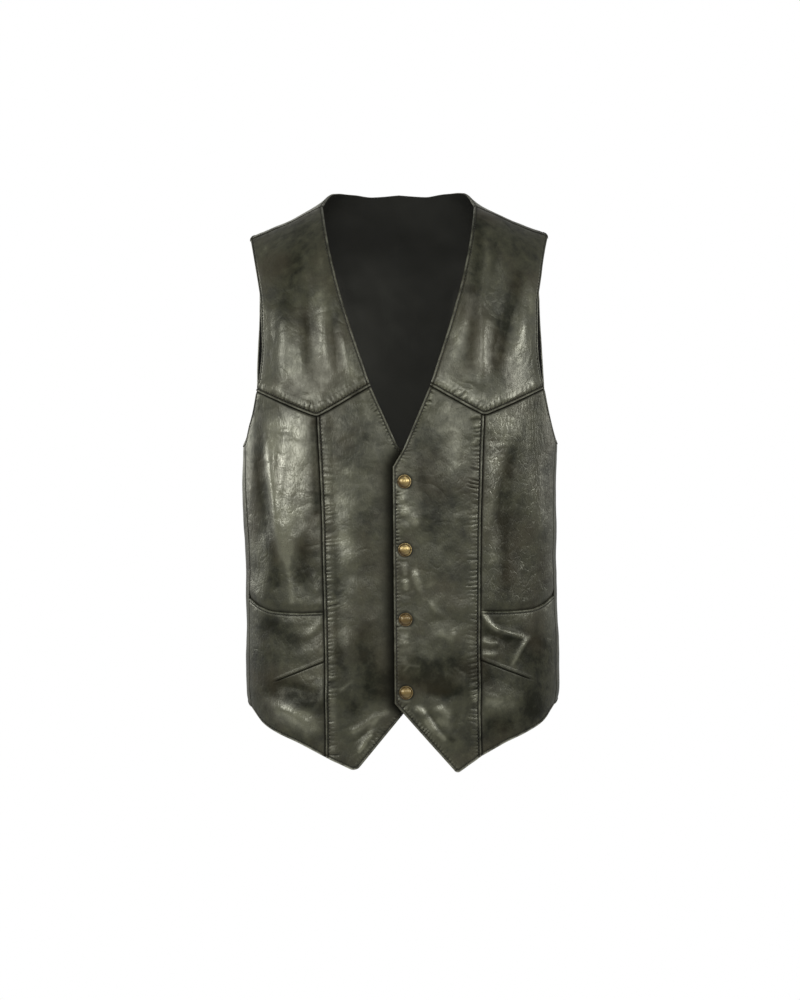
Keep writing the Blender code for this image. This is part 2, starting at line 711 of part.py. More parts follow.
def turned(name, profile, place, direction, material, parent):
    """A turned metal piece, spun round its own axis and set on the vest."""
    mesh = bmesh.new()
    verts = [mesh.verts.new((row.radius, 0.0, row.height)) for row in profile]
    edges = [mesh.edges.new(pair) for pair in zip(verts, verts[1:])]
    bmesh.ops.spin(mesh, geom=verts + edges, cent=(0, 0, 0), axis=(0, 0, 1),
                   angle=2 * math.pi, steps=SNAP_STEPS, use_merge=True)
    bmesh.ops.remove_doubles(mesh, verts=mesh.verts, dist=MERGE)
    bmesh.ops.recalc_face_normals(mesh, faces=mesh.faces)
    thing = finish(name, mesh, material, parent)
    thing.location = place
    thing.rotation_mode = "QUATERNION"
    thing.rotation_quaternion = direction.to_track_quat("Z", "Y")
    return thing


def snaps(material, parent):
    """Four closed snaps: cap outside, socket between the fronts, post head inside."""
    lap = LEATHER + LAP_GAP
    for number, z in enumerate(SNAP_HEIGHTS, start=1):
        tag = "_" + str(number)
        place, normal = front_frame(LAP_AXIS_X, z, lap + PART_GAP)
        turned("snap_cap" + tag, SNAP_CAP, place, normal, material, parent)
        place, normal = front_frame(LAP_AXIS_X, z, PART_GAP)
        turned("snap_socket" + tag, SNAP_SOCKET, place, normal, material, parent)
        place, normal = front_frame(LAP_AXIS_X, z, -LEATHER - PART_GAP)
        turned("snap_post" + tag, SNAP_POST, place, -normal, material, parent)


def make_material(name, look):
    """Plain Principled material of one substance."""
    material = bpy.data.materials.new(name)
    material.use_nodes = True
    shader = material.node_tree.nodes["Principled BSDF"]
    shader.inputs["Base Color"].default_value = look.colour
    shader.inputs["Roughness"].default_value = look.roughness
    shader.inputs["Metallic"].default_value = look.metallic
    return material


def main():
    for thing in list(bpy.data.objects):
        bpy.data.objects.remove(thing, do_unlink=True)
    vest = bpy.data.objects.new("vest", None)
    bpy.context.collection.objects.link(vest)
    leather = make_material("leather", LEATHER_FINISH)
    brass = make_material("brass", BRASS_FINISH)
    back_panel(leather, vest)
    for side, hand in (("left", 1), ("right", -1)):
        yoke(side, hand, leather, vest)
        centre_panel(side, hand, leather, vest)
        side_panel(side, hand, leather, vest)
        pocket_front(side, hand, leather, vest)
    snaps(brass, vest)


main()
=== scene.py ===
"""Looks of the leather vest: creased leather panels, stitching, brass snaps and a plain studio.

Lengths are metres and angles degrees, unless a comment says millimetres. +X is the wearer's
left, -Y the front, +Z up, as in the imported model.
"""
import math
from collections import namedtuple

import bmesh
import bpy
import numpy as np
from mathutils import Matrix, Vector, kdtree


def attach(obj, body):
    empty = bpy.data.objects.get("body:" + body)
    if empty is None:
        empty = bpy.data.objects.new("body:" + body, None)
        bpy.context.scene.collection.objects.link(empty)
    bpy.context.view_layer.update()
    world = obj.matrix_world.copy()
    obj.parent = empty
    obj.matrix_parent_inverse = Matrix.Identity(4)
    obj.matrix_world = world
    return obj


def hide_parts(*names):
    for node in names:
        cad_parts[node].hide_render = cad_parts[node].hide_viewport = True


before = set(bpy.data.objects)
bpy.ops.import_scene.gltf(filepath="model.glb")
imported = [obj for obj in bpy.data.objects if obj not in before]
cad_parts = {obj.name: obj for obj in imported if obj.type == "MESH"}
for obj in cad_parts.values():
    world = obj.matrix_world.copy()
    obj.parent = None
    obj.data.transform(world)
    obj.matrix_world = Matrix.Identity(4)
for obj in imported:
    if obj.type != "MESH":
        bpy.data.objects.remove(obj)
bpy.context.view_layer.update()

bl_info = {
    "name": "Leather vest",
    "version": (1, 0, 0),
    "blender": (4, 5, 0),
    "location": "View3D > Sidebar > Vest",
    "description": "Makes the panels, stitching and snaps of a leather vest",
    "category": "Add Mesh",
}

MM = 0.001

# Wall and seams
LEATHER = 0.0016
SEAM_GAP = 0.0001

# Form under the leather
CHEST_Z = -0.210
SQUARENESS = 2.5
ARCH_POWER = 2.2
RIDGE_Y = 0.008
SHOULDER_SEAM_ANGLE = 77.0
CHEST_BACK_ANGLE = 180.0

Section = namedtuple("Section", "height half_width front_depth back_depth")
TORSO = (
    Section(-0.640, 0.1640, 0.116, 0.110),
    Section(-0.570, 0.1715, 0.118, 0.108),
    Section(-0.545, 0.1762, 0.118, 0.108),
    Section(-0.515, 0.1770, 0.118, 0.105),
    Section(-0.470, 0.1755, 0.117, 0.102),
    Section(-0.400, 0.1745, 0.118, 0.101),
    Section(-0.340, 0.1745, 0.120, 0.105),
    Section(-0.268, 0.1755, 0.120, 0.112),
    Section(-0.210, 0.1745, 0.117, 0.114),
    Section(-0.030, 0.1800, 0.117, 0.114),
)
Ridge = namedtuple("Ridge", "across height")
SHOULDER_RIDGE = (
    Ridge(0.000, 0.034),
    Ridge(0.040, 0.021),
    Ridge(0.0855, 0.002),
    Ridge(0.130, -0.0187),
    Ridge(0.169, -0.0335),
    Ridge(0.180, -0.038),
)
NeckStand = namedtuple("NeckStand", "across lift")
NECK_STAND = (
    NeckStand(0.000, 0.013),
    NeckStand(0.030, 0.017),
    NeckStand(0.050, 0.019),
    NeckStand(0.065, 0.017),
    NeckStand(0.080, 0.010),
    NeckStand(0.092, 0.004),
    NeckStand(0.110, 0.0),
)
NECK_STAND_RISE = (0.75, 1.0)
NECK_STAND_TURN = (80.0, 100.0)

# Cut lines of the fronts, half of the vest, as height and distance from the middle
CutPoint = namedtuple("CutPoint", "height across")
NECK_EDGE = (
    CutPoint(-0.003, 0.0855),
    CutPoint(-0.040, 0.0800),
    CutPoint(-0.089, 0.0695),
    CutPoint(-0.141, 0.0547),
    CutPoint(-0.193, 0.0377),
    CutPoint(-0.2085, 0.0325),
)
ARMHOLE_EDGE = (
    CutPoint(-0.0335, 0.1690),
    CutPoint(-0.081, 0.1592),
    CutPoint(-0.125, 0.1536),
    CutPoint(-0.161, 0.1533),
    CutPoint(-0.196, 0.1560),
    CutPoint(-0.211, 0.1592),
    CutPoint(-0.252, 0.1690),
    CutPoint(-0.268, 0.1725),
)
SIDE_SEAM = (
    CutPoint(-0.268, 0.1725),
    CutPoint(-0.300, 0.1710),
    CutPoint(-0.345, 0.1695),
    CutPoint(-0.400, 0.1690),
    CutPoint(-0.440, 0.1700),
    CutPoint(-0.500, 0.1715),
    CutPoint(-0.540, 0.1712),
    CutPoint(-0.570, 0.1680),
)
PANEL_SEAM = (
    CutPoint(-0.242, 0.0915),
    CutPoint(-0.311, 0.0884),
    CutPoint(-0.398, 0.0862),
    CutPoint(-0.550, 0.0848),
    CutPoint(-0.640, 0.0856),
)
SHOULDER_NECK_X = 0.0855
SHOULDER_TIP_X = 0.169
YOKE_POINT = CutPoint(-0.242, 0.0915)
YOKE_NECK = CutPoint(-0.2085, 0.0325)
YOKE_ARMHOLE_Z = -0.211
YOKE_POINT_ROUND = 0.0016
YOKE_SLOPE = 0.5
UNDERARM_Z = -0.268

# Pocket mouth, dart and hem, by share of the way from panel seam to side seam
PocketLine = namedtuple("PocketLine", "share mouth dart hem")
POCKET_LINES = (
    PocketLine(0.00, -0.4550, -0.5080, -0.6135),
    PocketLine(0.34, -0.4560, -0.5200, -0.5995),
    PocketLine(0.67, -0.4545, -0.5316, -0.5880),
    PocketLine(0.85, -0.4495, -0.5380, -0.5790),
    PocketLine(1.00, -0.4410, -0.5432, -0.5630),
)
POCKET_TUCK = 0.022
POCKET_SINK = 0.0024
POCKET_SLOPE_TOP = 0.010
POCKET_SLOPE_FOOT = -0.0033
MOUTH_SHADE = 0.8
MOUTH_SHADE_WIDTH = 0.0022
DART_FADE = (0.60, 0.69)
DART_RIDGE = 0.0009
DART_RIDGE_AT = 0.0018
DART_RIDGE_WIDTH = 0.0014
DART_GROOVE = 0.0010
DART_GROOVE_WIDTH = 0.0008

# Front edge and lap
LAP_AXIS_X = 0.0035
LAP_HALF = 0.0125
LAP_GAP = 0.0024
LAP_FADE_X = (0.018, 0.075)
LAP_SHADE = 0.95
LAP_SHADE_WIDTH = 0.011
LAP_FADE_Z = (-0.226, -0.264)
FRONT_TOP_Z = -0.297
FrontPoint = namedtuple("FrontPoint", "foot reach height")
FRONT_POINTS = {1: FrontPoint(-0.5545, 0.0550, -0.6320), -1: FrontPoint(-0.547, 0.0557, -0.6290)}
HEM_POINT_ROUND = {1: 0.004, -1: 0.007}
UPPER_CROSSING = CutPoint(-0.276, 0.0035)
LOWER_CROSSING = CutPoint(-0.273, 0.0041)

# Back panel
SHOULDER_GAP_ANGLE = 0.1
BACK_HEM_SIDE_Z = -0.5630
BACK_HEM_MIDDLE_Z = -0.548
BACK_HEM_TURN = (75.0, 125.0)
BACK_FOLD_FADE_Y = (0.0, 0.04)
FRONT_FOLD_FADE_Y = (0.0, 0.035)
ArmholeTurn = namedtuple("ArmholeTurn", "height angle")
ARMHOLE_UNDER = (
    ArmholeTurn(-0.268, 78.9),
    ArmholeTurn(-0.2690, 85.0),
    ArmholeTurn(-0.2650, 92.0),
    ArmholeTurn(-0.2530, 99.0),
    ArmholeTurn(-0.2340, 105.0),
    ArmholeTurn(-0.210, 109.5),
)
ARMHOLE_CORNER_ANGLE = 109.5
BackEdge = namedtuple("BackEdge", "share across")
ARMHOLE_BACK = (
    BackEdge(0.00, 0.1655),
    BackEdge(0.25, 0.1620),
    BackEdge(0.50, 0.1608),
    BackEdge(0.75, 0.1632),
    BackEdge(1.00, 0.1690),
)
NeckTurn = namedtuple("NeckTurn", "across angle")
BACK_NECK = (
    NeckTurn(0.000, 117.0),
    NeckTurn(0.030, 115.5),
    NeckTurn(0.050, 112.0),
    NeckTurn(0.060, 109.0),
    NeckTurn(0.072, 102.0),
    NeckTurn(0.080, 92.0),
    NeckTurn(0.0855, 77.0),
)
NECK_BASE = NeckTurn(0.060, 109.0)

# Largest folds: middle, lean from upright, half length, half width, height
Fold = namedtuple("Fold", "across height lean half_length half_width rise")
FRONT_FOLDS = (
    Fold(-0.128, -0.325, 8.0, 0.085, 0.015, 0.0042),
    Fold(-0.154, -0.350, 6.0, 0.080, 0.013, -0.0024),
    Fold(0.118, -0.345, -6.0, 0.090, 0.015, -0.0036),
    Fold(0.147, -0.335, -4.0, 0.080, 0.014, 0.0026),
    Fold(-0.100, -0.145, 4.0, 0.060, 0.014, -0.0032),
    Fold(-0.128, -0.160, 2.0, 0.060, 0.014, 0.0024),
    Fold(0.117, -0.140, -14.0, 0.065, 0.015, -0.0036),
    Fold(0.084, -0.160, -4.0, 0.055, 0.014, 0.0026),
    Fold(-0.118, -0.556, 76.0, 0.045, 0.013, 0.0034),
    Fold(0.104, -0.548, -72.0, 0.040, 0.013, 0.0030),
    Fold(-0.046, -0.420, 4.0, 0.110, 0.016, 0.0020),
    Fold(0.056, -0.430, -3.0, 0.120, 0.016, 0.0020),
    Fold(-0.177, -0.335, 0.0, 0.070, 0.016, 0.0042),
)
BACK_FOLDS = (
    Fold(-0.096, -0.470, 5.0, 0.110, 0.020, -0.0042),
    Fold(-0.030, -0.490, -2.0, 0.090, 0.018, 0.0032),
    Fold(0.040, -0.480, 3.0, 0.100, 0.019, -0.0036),
    Fold(0.110, -0.460, -5.0, 0.105, 0.020, 0.0036),
    Fold(-0.118, -0.170, 9.0, 0.070, 0.014, -0.0030),
    Fold(0.122, -0.165, -9.0, 0.070, 0.014, -0.0030),
)

# Creases in millimetres: half width, height, and the line that each follows, across and up
Crease = namedtuple("Crease", "half_width rise path")
YOKE_CREASES = (
    Crease(11, -1.2, ((-110, -40), (-115, -75), (-121, -106), (-126, -136))),
    Crease(4.5, -0.9, ((-102, -63), (-101, -107), (-104, -138), (-100, -190))),
    Crease(5, 0.9, ((-109, -128), (-109, -165), (-108, -203))),
    Crease(6, 1.0, ((-85, -80), (-83, -122), (-83, -155), (-81, -200))),
    Crease(4.5, -0.8, ((-74, -120), (-71, -162), (-68, -195))),
    Crease(4.5, 0.8, ((-65, -143), (-58, -176), (-52, -206))),
    Crease(5, 0.7, ((-144, -110), (-143, -135), (-141, -165))),
    Crease(4, -0.6, ((-137, -130), (-136, -150), (-137, -170))),
    Crease(5, 0.8, ((-103, -212), (-102, -224), (-101, -236))),
    Crease(5, 0.8, ((-88, -212), (-88, -224), (-88, -236))),
    Crease(3.5, 0.5, ((99, -30), (99, -64), (94, -92), (92, -114), (86, -142))),
    Crease(8, -2.0, ((136, -75), (123, -116), (115, -140), (107, -172), (103, -205))),
    Crease(5, -1.0, ((91, -108), (81, -140), (77, -171), (79, -206))),
    Crease(6, 1.1, ((97, -120), (91, -156), (89, -188), (87, -222))),
    Crease(5, 0.9, ((80, -110), (65, -156), (56, -194))),
    Crease(9, 1.4, ((140, -110), (132, -157), (120, -192))),
    Crease(6, -0.8, ((106, -40), (108, -66), (104, -90))),
)
SIDE_CREASES = (
    Crease(5, 1.6, ((-149, -236), (-144, -284), (-138, -326), (-131, -368), (-127, -393), (-123, -440))),
    Crease(13, 2.3, ((-142, -236), (-138, -284), (-132, -326), (-126, -368), (-122, -393), (-119, -425))),
    Crease(9, 2.4, ((-150, -563), (-128, -571), (-108, -581), (-96, -594))),
    Crease(7, -1.2, ((-158, -250), (-156, -300), (-150, -350), (-142, -400))),
    Crease(7, -1.6, ((-116, -372), (-112, -401), (-115, -438))),
    Crease(5, 0.7, ((-100, -355), (-112, -371), (-124, -385))),
    Crease(3, 0.5, ((-143, -262), (-130, -256), (-114, -258))),
    Crease(3, -0.5, ((-128, -272), (-118, -268), (-108, -270))),
    Crease(4, 0.7, ((-99, -410), (-95, -424), (-92, -440))),
    Crease(8, -1.8, ((128, -255), (116, -312), (108, -354), (101, -392))),
    Crease(6, 1.0, ((98, -262), (98, -310), (95, -352), (92, -390))),
    Crease(8, 1.0, ((150, -270), (148, -330), (146, -400))),
    Crease(2, -0.35, ((76, -270), (100, -270), (126, -271))),
    Crease(4, 0.6, ((134, -400), (130, -420), (131, -440))),
    Crease(4, -0.6, ((118, -395), (115, -420), (116, -442))),
)
CENTRE_CREASES = (
    Crease(4, 0.6, ((-46, -232), (-42, -250), (-38, -268))),
    Crease(3.5, 0.7, ((-31, -266), (-28, -280), (-24, -298))),
    Crease(4, 0.8, ((-17, -262), (-12, -276), (-9, -290))),
    Crease(10, 0.8, ((-62, -330), (-58, -372), (-52, -415))),
    Crease(8, -0.7, ((-36, -320), (-38, -380), (-36, -430))),
    Crease(3, 1.1, ((-50, -610), (-44, -600), (-35, -586))),
    Crease(3.5, 1.0, ((-62, -590), (-50, -582), (-34, -572), (-16, -563))),
    Crease(3, -0.8, ((-58, -600), (-44, -588), (-28, -576))),
    Crease(6, -0.7, ((-30, -520), (-42, -548), (-50, -572))),
    Crease(6, 0.7, ((-66, -470), (-60, -490), (-62, -515))),
    Crease(4.5, 0.9, ((2, -322), (2, -329), (4, -337))),
    Crease(4.5, 0.9, ((2, -340), (1, -346), (3, -352))),
    Crease(4.5, 0.8, ((3, -356), (2, -361), (5, -368))),
    Crease(4.5, 0.7, ((14, -346), (15, -356), (18, -364))),
    Crease(3.5, 1.3, ((2, -400), (3, -408), (4, -415))),
    Crease(3.5, 1.1, ((3, -419), (4, -425), (6, -433))),
    Crease(3.5, 1.3, ((13, -408), (15, -417), (18, -427), (25, -440))),
    Crease(3.5, 0.8, ((4, -437), (3, -442), (5, -448))),
    Crease(3, 0.4, ((30, -443), (37, -455), (50, -462))),
    Crease(4, 0.7, ((3, -480), (2, -487), (4, -495))),
    Crease(4, 0.6, ((3, -503), (2, -510), (5, -518))),
    Crease(8, 0.9, ((62, -256), (58, -300), (60, -332))),
    Crease(10, -0.9, ((38, -300), (40, -350), (36, -400))),
    Crease(7, -0.6, ((20, -472), (48, -463), (76, -470))),
    Crease(7, 0.6, ((24, -488), (46, -480), (66, -486))),
    Crease(3.5, 1.4, ((13, -556), (21, -565), (32, -581), (43, -594))),
    Crease(3, -1.0, ((26, -560), (34, -574), (48, -596))),
    Crease(5, 1.2, ((37, -557), (44, -566), (50, -582))),
    Crease(3, -0.8, ((56, -560), (58, -576), (54, -592))),
    Crease(6, -0.7, ((20, -540), (44, -546), (66, -540))),
)
POCKET_CREASES = (
    Crease(3, 1.9, ((86, -452), (94, -468), (104, -476), (121, -481), (140, -487))),
    Crease(2.8, 1.7, ((140, -483), (130, -497), (119, -516))),
    Crease(4, 1.4, ((86, -485), (96, -491), (108, -488))),
    Crease(3.5, 1.1, ((86, -500), (94, -503), (106, -502))),
    Crease(4, -1.3, ((90, -476), (106, -485), (122, -494))),
    Crease(2, -0.4, ((150, -454), (146, -490), (139, -522))),
    Crease(6, 1.2, ((85, -548), (96, -551), (112, -555))),
    Crease(4, 1.0, ((-86, -462), (-97, -474), (-110, -486))),
    Crease(7, 0.9, ((-124, -507), (-104, -498), (-84, -494))),
    Crease(7, 2.2, ((-150, -550), (-125, -563), (-104, -572), (-84, -583))),
    Crease(8, -2.0, ((-144, -530), (-112, -541), (-86, -547))),
    Crease(3, 0.9, ((-134, -556), (-118, -569), (-108, -580))),
    Crease(3, -0.8, ((-112, -562), (-100, -574), (-90, -590))),
    Crease(2, -0.4, ((-153, -457), (-152, -490), (-150, -522))),
)
BACK_CREASES = (
    Crease(7, -1.4, ((-62, -380), (0, -392), (64, -384))),
    Crease(5, -1.0, ((-44, -418), (10, -425), (52, -416))),
    Crease(7, 1.5, ((-120, -330), (-90, -380), (-70, -440))),
    Crease(7, 1.5, ((118, -320), (92, -372), (70, -430))),
    Crease(7, 1.4, ((-70, -60), (-60, -120), (-56, -190))),
    Crease(7, 1.4, ((66, -70), (58, -130), (52, -195))),
    Crease(9, -1.2, ((-22, -80), (-16, -130), (-14, -190))),
    Crease(9, -1.2, ((24, -90), (20, -140), (22, -200))),
    Crease(6, -1.4, ((-152, -290), (-128, -310), (-100, -322))),
    Crease(6, -1.4, ((152, -286), (126, -304), (98, -318))),
    Crease(8, 1.7, ((-120, -490), (-114, -520), (-112, -552))),
    Crease(8, -1.5, ((-70, -495), (-67, -520), (-66, -552))),
    Crease(8, 1.5, ((-10, -490), (-9, -520), (-8, -548))),
    Crease(8, 1.5, ((60, -495), (61, -520), (63, -550))),
    Crease(8, -1.5, ((104, -485), (108, -515), (111, -550))),
)
FRONT_CREASES = YOKE_CREASES + SIDE_CREASES + CENTRE_CREASES + POCKET_CREASES
CREASE_TAPER = 0.3
CREASE_SAMPLES = 6
CREASE_REACH = 3.0

# Uneven dye and painted sheen: half width in millimetres, tone (darker dye and painted shade below 0, paler
# dye and painted highlight above), and the line of each patch
DyeAndSheen = namedtuple("DyeAndSheen", "half_width tone path")
YOKE_DYE_AND_SHEEN = (
    DyeAndSheen(20, -0.4, ((-138, -76), (-128, -128))),
    DyeAndSheen(14, -0.4, ((-110, -24), (-108, -70))),
    DyeAndSheen(4, 0.5, ((-104, -62), (-101, -96))),
    DyeAndSheen(6, 0.35, ((-88, -72), (-85, -110), (-84, -175))),
    DyeAndSheen(6, -0.7, ((-101, -135), (-100, -192))),
    DyeAndSheen(14, 0.35, ((-128, -150), (-122, -200))),
    DyeAndSheen(5, -0.5, ((-69, -130), (-67, -172))),
    DyeAndSheen(3, 0.5, ((-69, -148), (-50, -205))),
    DyeAndSheen(8, 0.5, ((-98, -222), (-84, -236))),
    DyeAndSheen(9, -0.8, ((131, -86), (116, -143), (105, -195))),
    DyeAndSheen(12, -1.0, ((90, -24), (82, -100))),
    DyeAndSheen(4, 0.25, ((96, -34), (97, -77), (91, -120))),
    DyeAndSheen(16, -0.5, ((114, -38), (138, -62))),
    DyeAndSheen(14, 0.35, ((145, -120), (130, -190))),
    DyeAndSheen(8, 0.3, ((93, -140), (92, -195))),
    DyeAndSheen(5, -0.7, ((77, -138), (73, -188))),
    DyeAndSheen(4, 0.6, ((68, -132), (53, -190))),
    DyeAndSheen(11, 0.8, ((50, -206), (92, -226), (146, -208))),
)
SIDE_DYE_AND_SHEEN = (
    DyeAndSheen(7, -1.3, ((-160, -225), (-155, -300), (-146, -360), (-138, -420))),
    DyeAndSheen(10, 1.5, ((-139, -248), (-133, -300), (-127, -350), (-124, -385))),
    DyeAndSheen(11, 1.4, ((-116, -248), (-113, -300), (-113, -338))),
    DyeAndSheen(5, -1.2, ((-95, -248), (-93, -345))),
    DyeAndSheen(3, 1.0, ((-126, -384), (-121, -444))),
    DyeAndSheen(15, -0.9, ((-107, -384), (-103, -416))),
    DyeAndSheen(4, 0.6, ((-102, -420), (-90, -440))),
    DyeAndSheen(12, -0.5, ((-154, -400), (-146, -440))),
    DyeAndSheen(13, 1.0, ((118, -250), (108, -290))),
    DyeAndSheen(7, -0.7, ((134, -252), (116, -312), (113, -440))),
    DyeAndSheen(6, 0.7, ((104, -290), (100, -400))),
    DyeAndSheen(18, -0.4, ((124, -340), (128, -440))),
    DyeAndSheen(7, -0.5, ((153, -230), (160, -320), (158, -430))),
)
CENTRE_DYE_AND_SHEEN = (
    DyeAndSheen(15, -0.4, ((-80, -245), (-58, -280))),
    DyeAndSheen(4, 0.5, ((-40, -222), (-33, -245))),
    DyeAndSheen(5, -0.5, ((-46, -235), (-38, -262))),
    DyeAndSheen(4, 0.5, ((-25, -256), (-18, -276))),
    DyeAndSheen(10, 0.4, ((-62, -375), (-55, -418))),
    DyeAndSheen(2, 0.9, ((-68, -540), (-56, -530))),
    DyeAndSheen(3, 0.6, ((-68, -346), (-64, -396))),
    DyeAndSheen(12, 0.45, ((-58, -445), (-32, -455))),
    DyeAndSheen(4, -0.5, ((-71, -390), (-70, -500))),
    DyeAndSheen(20, -1.1, ((-42, -490), (-22, -548))),
    DyeAndSheen(10, -0.8, ((-69, -500), (-66, -548))),
    DyeAndSheen(8, -0.9, ((-54, -560), (-44, -572))),
    DyeAndSheen(9, 0.8, ((-17, -558), (-44, -570))),
    DyeAndSheen(1.8, 1.7, ((-35, -588), (-48, -607))),
    DyeAndSheen(3, 1.2, ((-18, -563), (-30, -574), (-37, -585))),
    DyeAndSheen(3, 1.0, ((-38, -575), (-54, -586))),
    DyeAndSheen(4, 1.2, ((-76, -552), (-75, -578))),
    DyeAndSheen(8, 0.35, ((60, -235), (58, -290))),
    DyeAndSheen(12, -0.4, ((22, -255), (32, -290))),
    DyeAndSheen(3.5, 1.3, ((1, -324), (1, -333))),
    DyeAndSheen(4, 1.3, ((3, -341), (4, -346))),
    DyeAndSheen(7, 0.8, ((7, -342), (10, -356))),
    DyeAndSheen(3, 1.0, ((15, -355), (16, -359))),
    DyeAndSheen(7, -0.5, ((24, -302), (28, -366))),
    DyeAndSheen(12, -0.3, ((56, -330), (54, -385))),
    DyeAndSheen(2.2, 1.5, ((2, -403), (4, -413))),
    DyeAndSheen(3, 1.5, ((14, -411), (16, -422))),
    DyeAndSheen(2.2, 1.3, ((3, -420), (5, -429))),
    DyeAndSheen(2.5, 1.0, ((19, -429), (24, -440))),
    DyeAndSheen(2, 0.5, ((30, -444), (38, -456), (50, -462))),
    DyeAndSheen(3, 0.8, ((42, -478), (54, -486))),
    DyeAndSheen(1.6, 1.0, ((2, -518), (8, -513), (17, -514))),
    DyeAndSheen(1.6, 0.9, ((56, -516), (67, -524))),
    DyeAndSheen(12, 0.5, ((38, -425), (62, -445))),
    DyeAndSheen(8, 0.4, ((42, -472), (70, -478))),
    DyeAndSheen(3, 1.1, ((1, -478), (5, -479))),
    DyeAndSheen(3, 1.0, ((-1, -486), (4, -488))),
    DyeAndSheen(4, 1.0, ((1, -495), (7, -496))),
    DyeAndSheen(4, 0.9, ((22, -499), (31, -503))),
    DyeAndSheen(15, -1.1, ((14, -510), (42, -522))),
    DyeAndSheen(15, -1.1, ((60, -512), (84, -518))),
    DyeAndSheen(10, -0.9, ((-4, -520), (20, -534), (46, -542))),
    DyeAndSheen(9, -0.7, ((60, -540), (78, -536))),
    DyeAndSheen(3.5, 1.6, ((15, -560), (21, -563))),
    DyeAndSheen(3.5, 1.6, ((26, -574), (31, -581))),
    DyeAndSheen(2.5, 1.5, ((39, -588), (45, -593))),
    DyeAndSheen(5, 1.2, ((37, -559), (48, -564))),
    DyeAndSheen(5, 0.8, ((40, -574), (50, -580))),
    DyeAndSheen(2.5, -0.8, ((48, -592), (54, -595))),
    DyeAndSheen(4, 1.2, ((81, -545), (82, -578))),
)
POCKET_DYE_AND_SHEEN = (
    DyeAndSheen(12, -1.0, ((-146, -468), (-118, -486))),
    DyeAndSheen(4, 0.4, ((-102, -471), (-90, -480))),
    DyeAndSheen(14, -0.6, ((-140, -500), (-112, -500))),
    DyeAndSheen(6, 0.3, ((-108, -502), (-90, -496))),
    DyeAndSheen(12, -1.2, ((-140, -540), (-114, -546), (-92, -552))),
    DyeAndSheen(5, 1.6, ((-148, -553), (-128, -561), (-106, -567))),
    DyeAndSheen(8, 1.3, ((-106, -572), (-98, -582))),
    DyeAndSheen(4, 0.9, ((-96, -560), (-88, -548))),
    DyeAndSheen(20, -1.1, ((102, -476), (140, -500))),
    DyeAndSheen(2.2, 1.9, ((88, -455), (95, -468), (104, -476))),
    DyeAndSheen(2, 1.4, ((112, -478), (122, -481), (138, -486))),
    DyeAndSheen(2, 1.9, ((139, -485), (130, -497), (120, -514))),
    DyeAndSheen(3, 1.5, ((90, -487), (98, -490))),
    DyeAndSheen(2, 1.1, ((88, -501), (100, -503))),
    DyeAndSheen(8, -0.6, ((92, -530), (118, -540))),
    DyeAndSheen(8, 0.9, ((96, -556), (116, -556))),
    DyeAndSheen(11, -0.6, ((134, -540), (144, -562))),
    DyeAndSheen(6, -0.6, ((96, -578), (116, -582))),
    DyeAndSheen(24, -0.7, ((100, -590), (150, -560), (165, -500))),
    DyeAndSheen(22, -0.5, ((-165, -500), (-155, -570), (-110, -600))),
)
BACK_DYE_AND_SHEEN = (
    DyeAndSheen(22, 0.6, ((-110, -90), (-104, -190))),
    DyeAndSheen(22, 0.4, ((112, -100), (106, -200))),
    DyeAndSheen(13, -0.40, ((-60, -300), (-10, -330), (40, -325))),
    DyeAndSheen(12, -0.35, ((-70, -384), (0, -394), (66, -386))),
    DyeAndSheen(8, 0.7, ((-50, -404), (10, -412), (54, -402))),
    DyeAndSheen(15, -0.35, ((-20, -90), (-14, -200))),
    DyeAndSheen(14, 0.5, ((60, -80), (54, -190))),
    DyeAndSheen(16, -0.40, ((108, -470), (112, -540))),
    DyeAndSheen(12, 0.8, ((-116, -480), (-110, -545))),
    DyeAndSheen(10, 0.6, ((60, -490), (62, -545))),
    DyeAndSheen(15, -0.40, ((-70, -490), (-66, -545))),
    DyeAndSheen(17, -0.35, ((-140, -300), (-110, -330))),
    DyeAndSheen(17, -0.35, ((140, -296), (112, -322))),
)
# Crease tone: troughs darker and ridges paler and shinier, partly dye worn off the ridges, partly painted
# shade and highlight
CREASE_TONE = 0.45
TONE_LIMIT = 1.7

# Soft unevenness of the hide: size, height and number of each layer
Unevenness = namedtuple("Unevenness", "size rise seed")
HIDE_LAYERS = (
    Unevenness(0.040, 0.00080, 11),
    Unevenness(0.018, 0.00040, 12),
    Unevenness(0.008, 0.00010, 13),
)
NOISE_CELLS = 64
BACK_SEED = 50

# How an edge is worked: height and width of each part of its profile, its wear (on the hem also a painted
# highlight), and its grime with painted shade at the seam
EdgeForm = namedtuple(
    "EdgeForm", "roll roll_width ridge ridge_width groove groove_at swell wear shade shade_width")
EDGE_FORMS = {
    # The shade column darkens the leather at the edge: partly seam grime, partly painted shadow of the gap
    "lap": EdgeForm(0.0008, 0.0010, 0.0008, 0.0027, 0.00045, 0.0032, 0.00060, 0.6, 0.7, 0.0004),
    "turned": EdgeForm(0.0008, 0.0010, 0.0004, 0.0022, 0.0003, 0.0026, 0.00020, 0.4, 0.0, 0.0005),
    # The hem's strong wear is worn pale leather and a painted highlight along its rolled edge
    "hem": EdgeForm(0.0008, 0.0011, 0.0003, 0.0026, 0.0003, 0.0030, 0.00015, 2.2, 0.0, 0.0005),
    "under": EdgeForm(0.0009, 0.0030, 0.0, 0.0030, 0.0, 0.0034, 0.0, 0.0, 1.0, 0.0018),
    "seam": EdgeForm(0.0008, 0.0018, 0.0, 0.0030, 0.0, 0.0034, 0.0, 0.1, 1.0, 0.0011),
    "shoulder": EdgeForm(0.0009, 0.0030, 0.0, 0.0030, 0.0, 0.0034, 0.0, 0.0, 1.0, 0.0013),
}
RIDGE_SLOPE = 0.0009
GROOVE_WIDTH = 0.0008
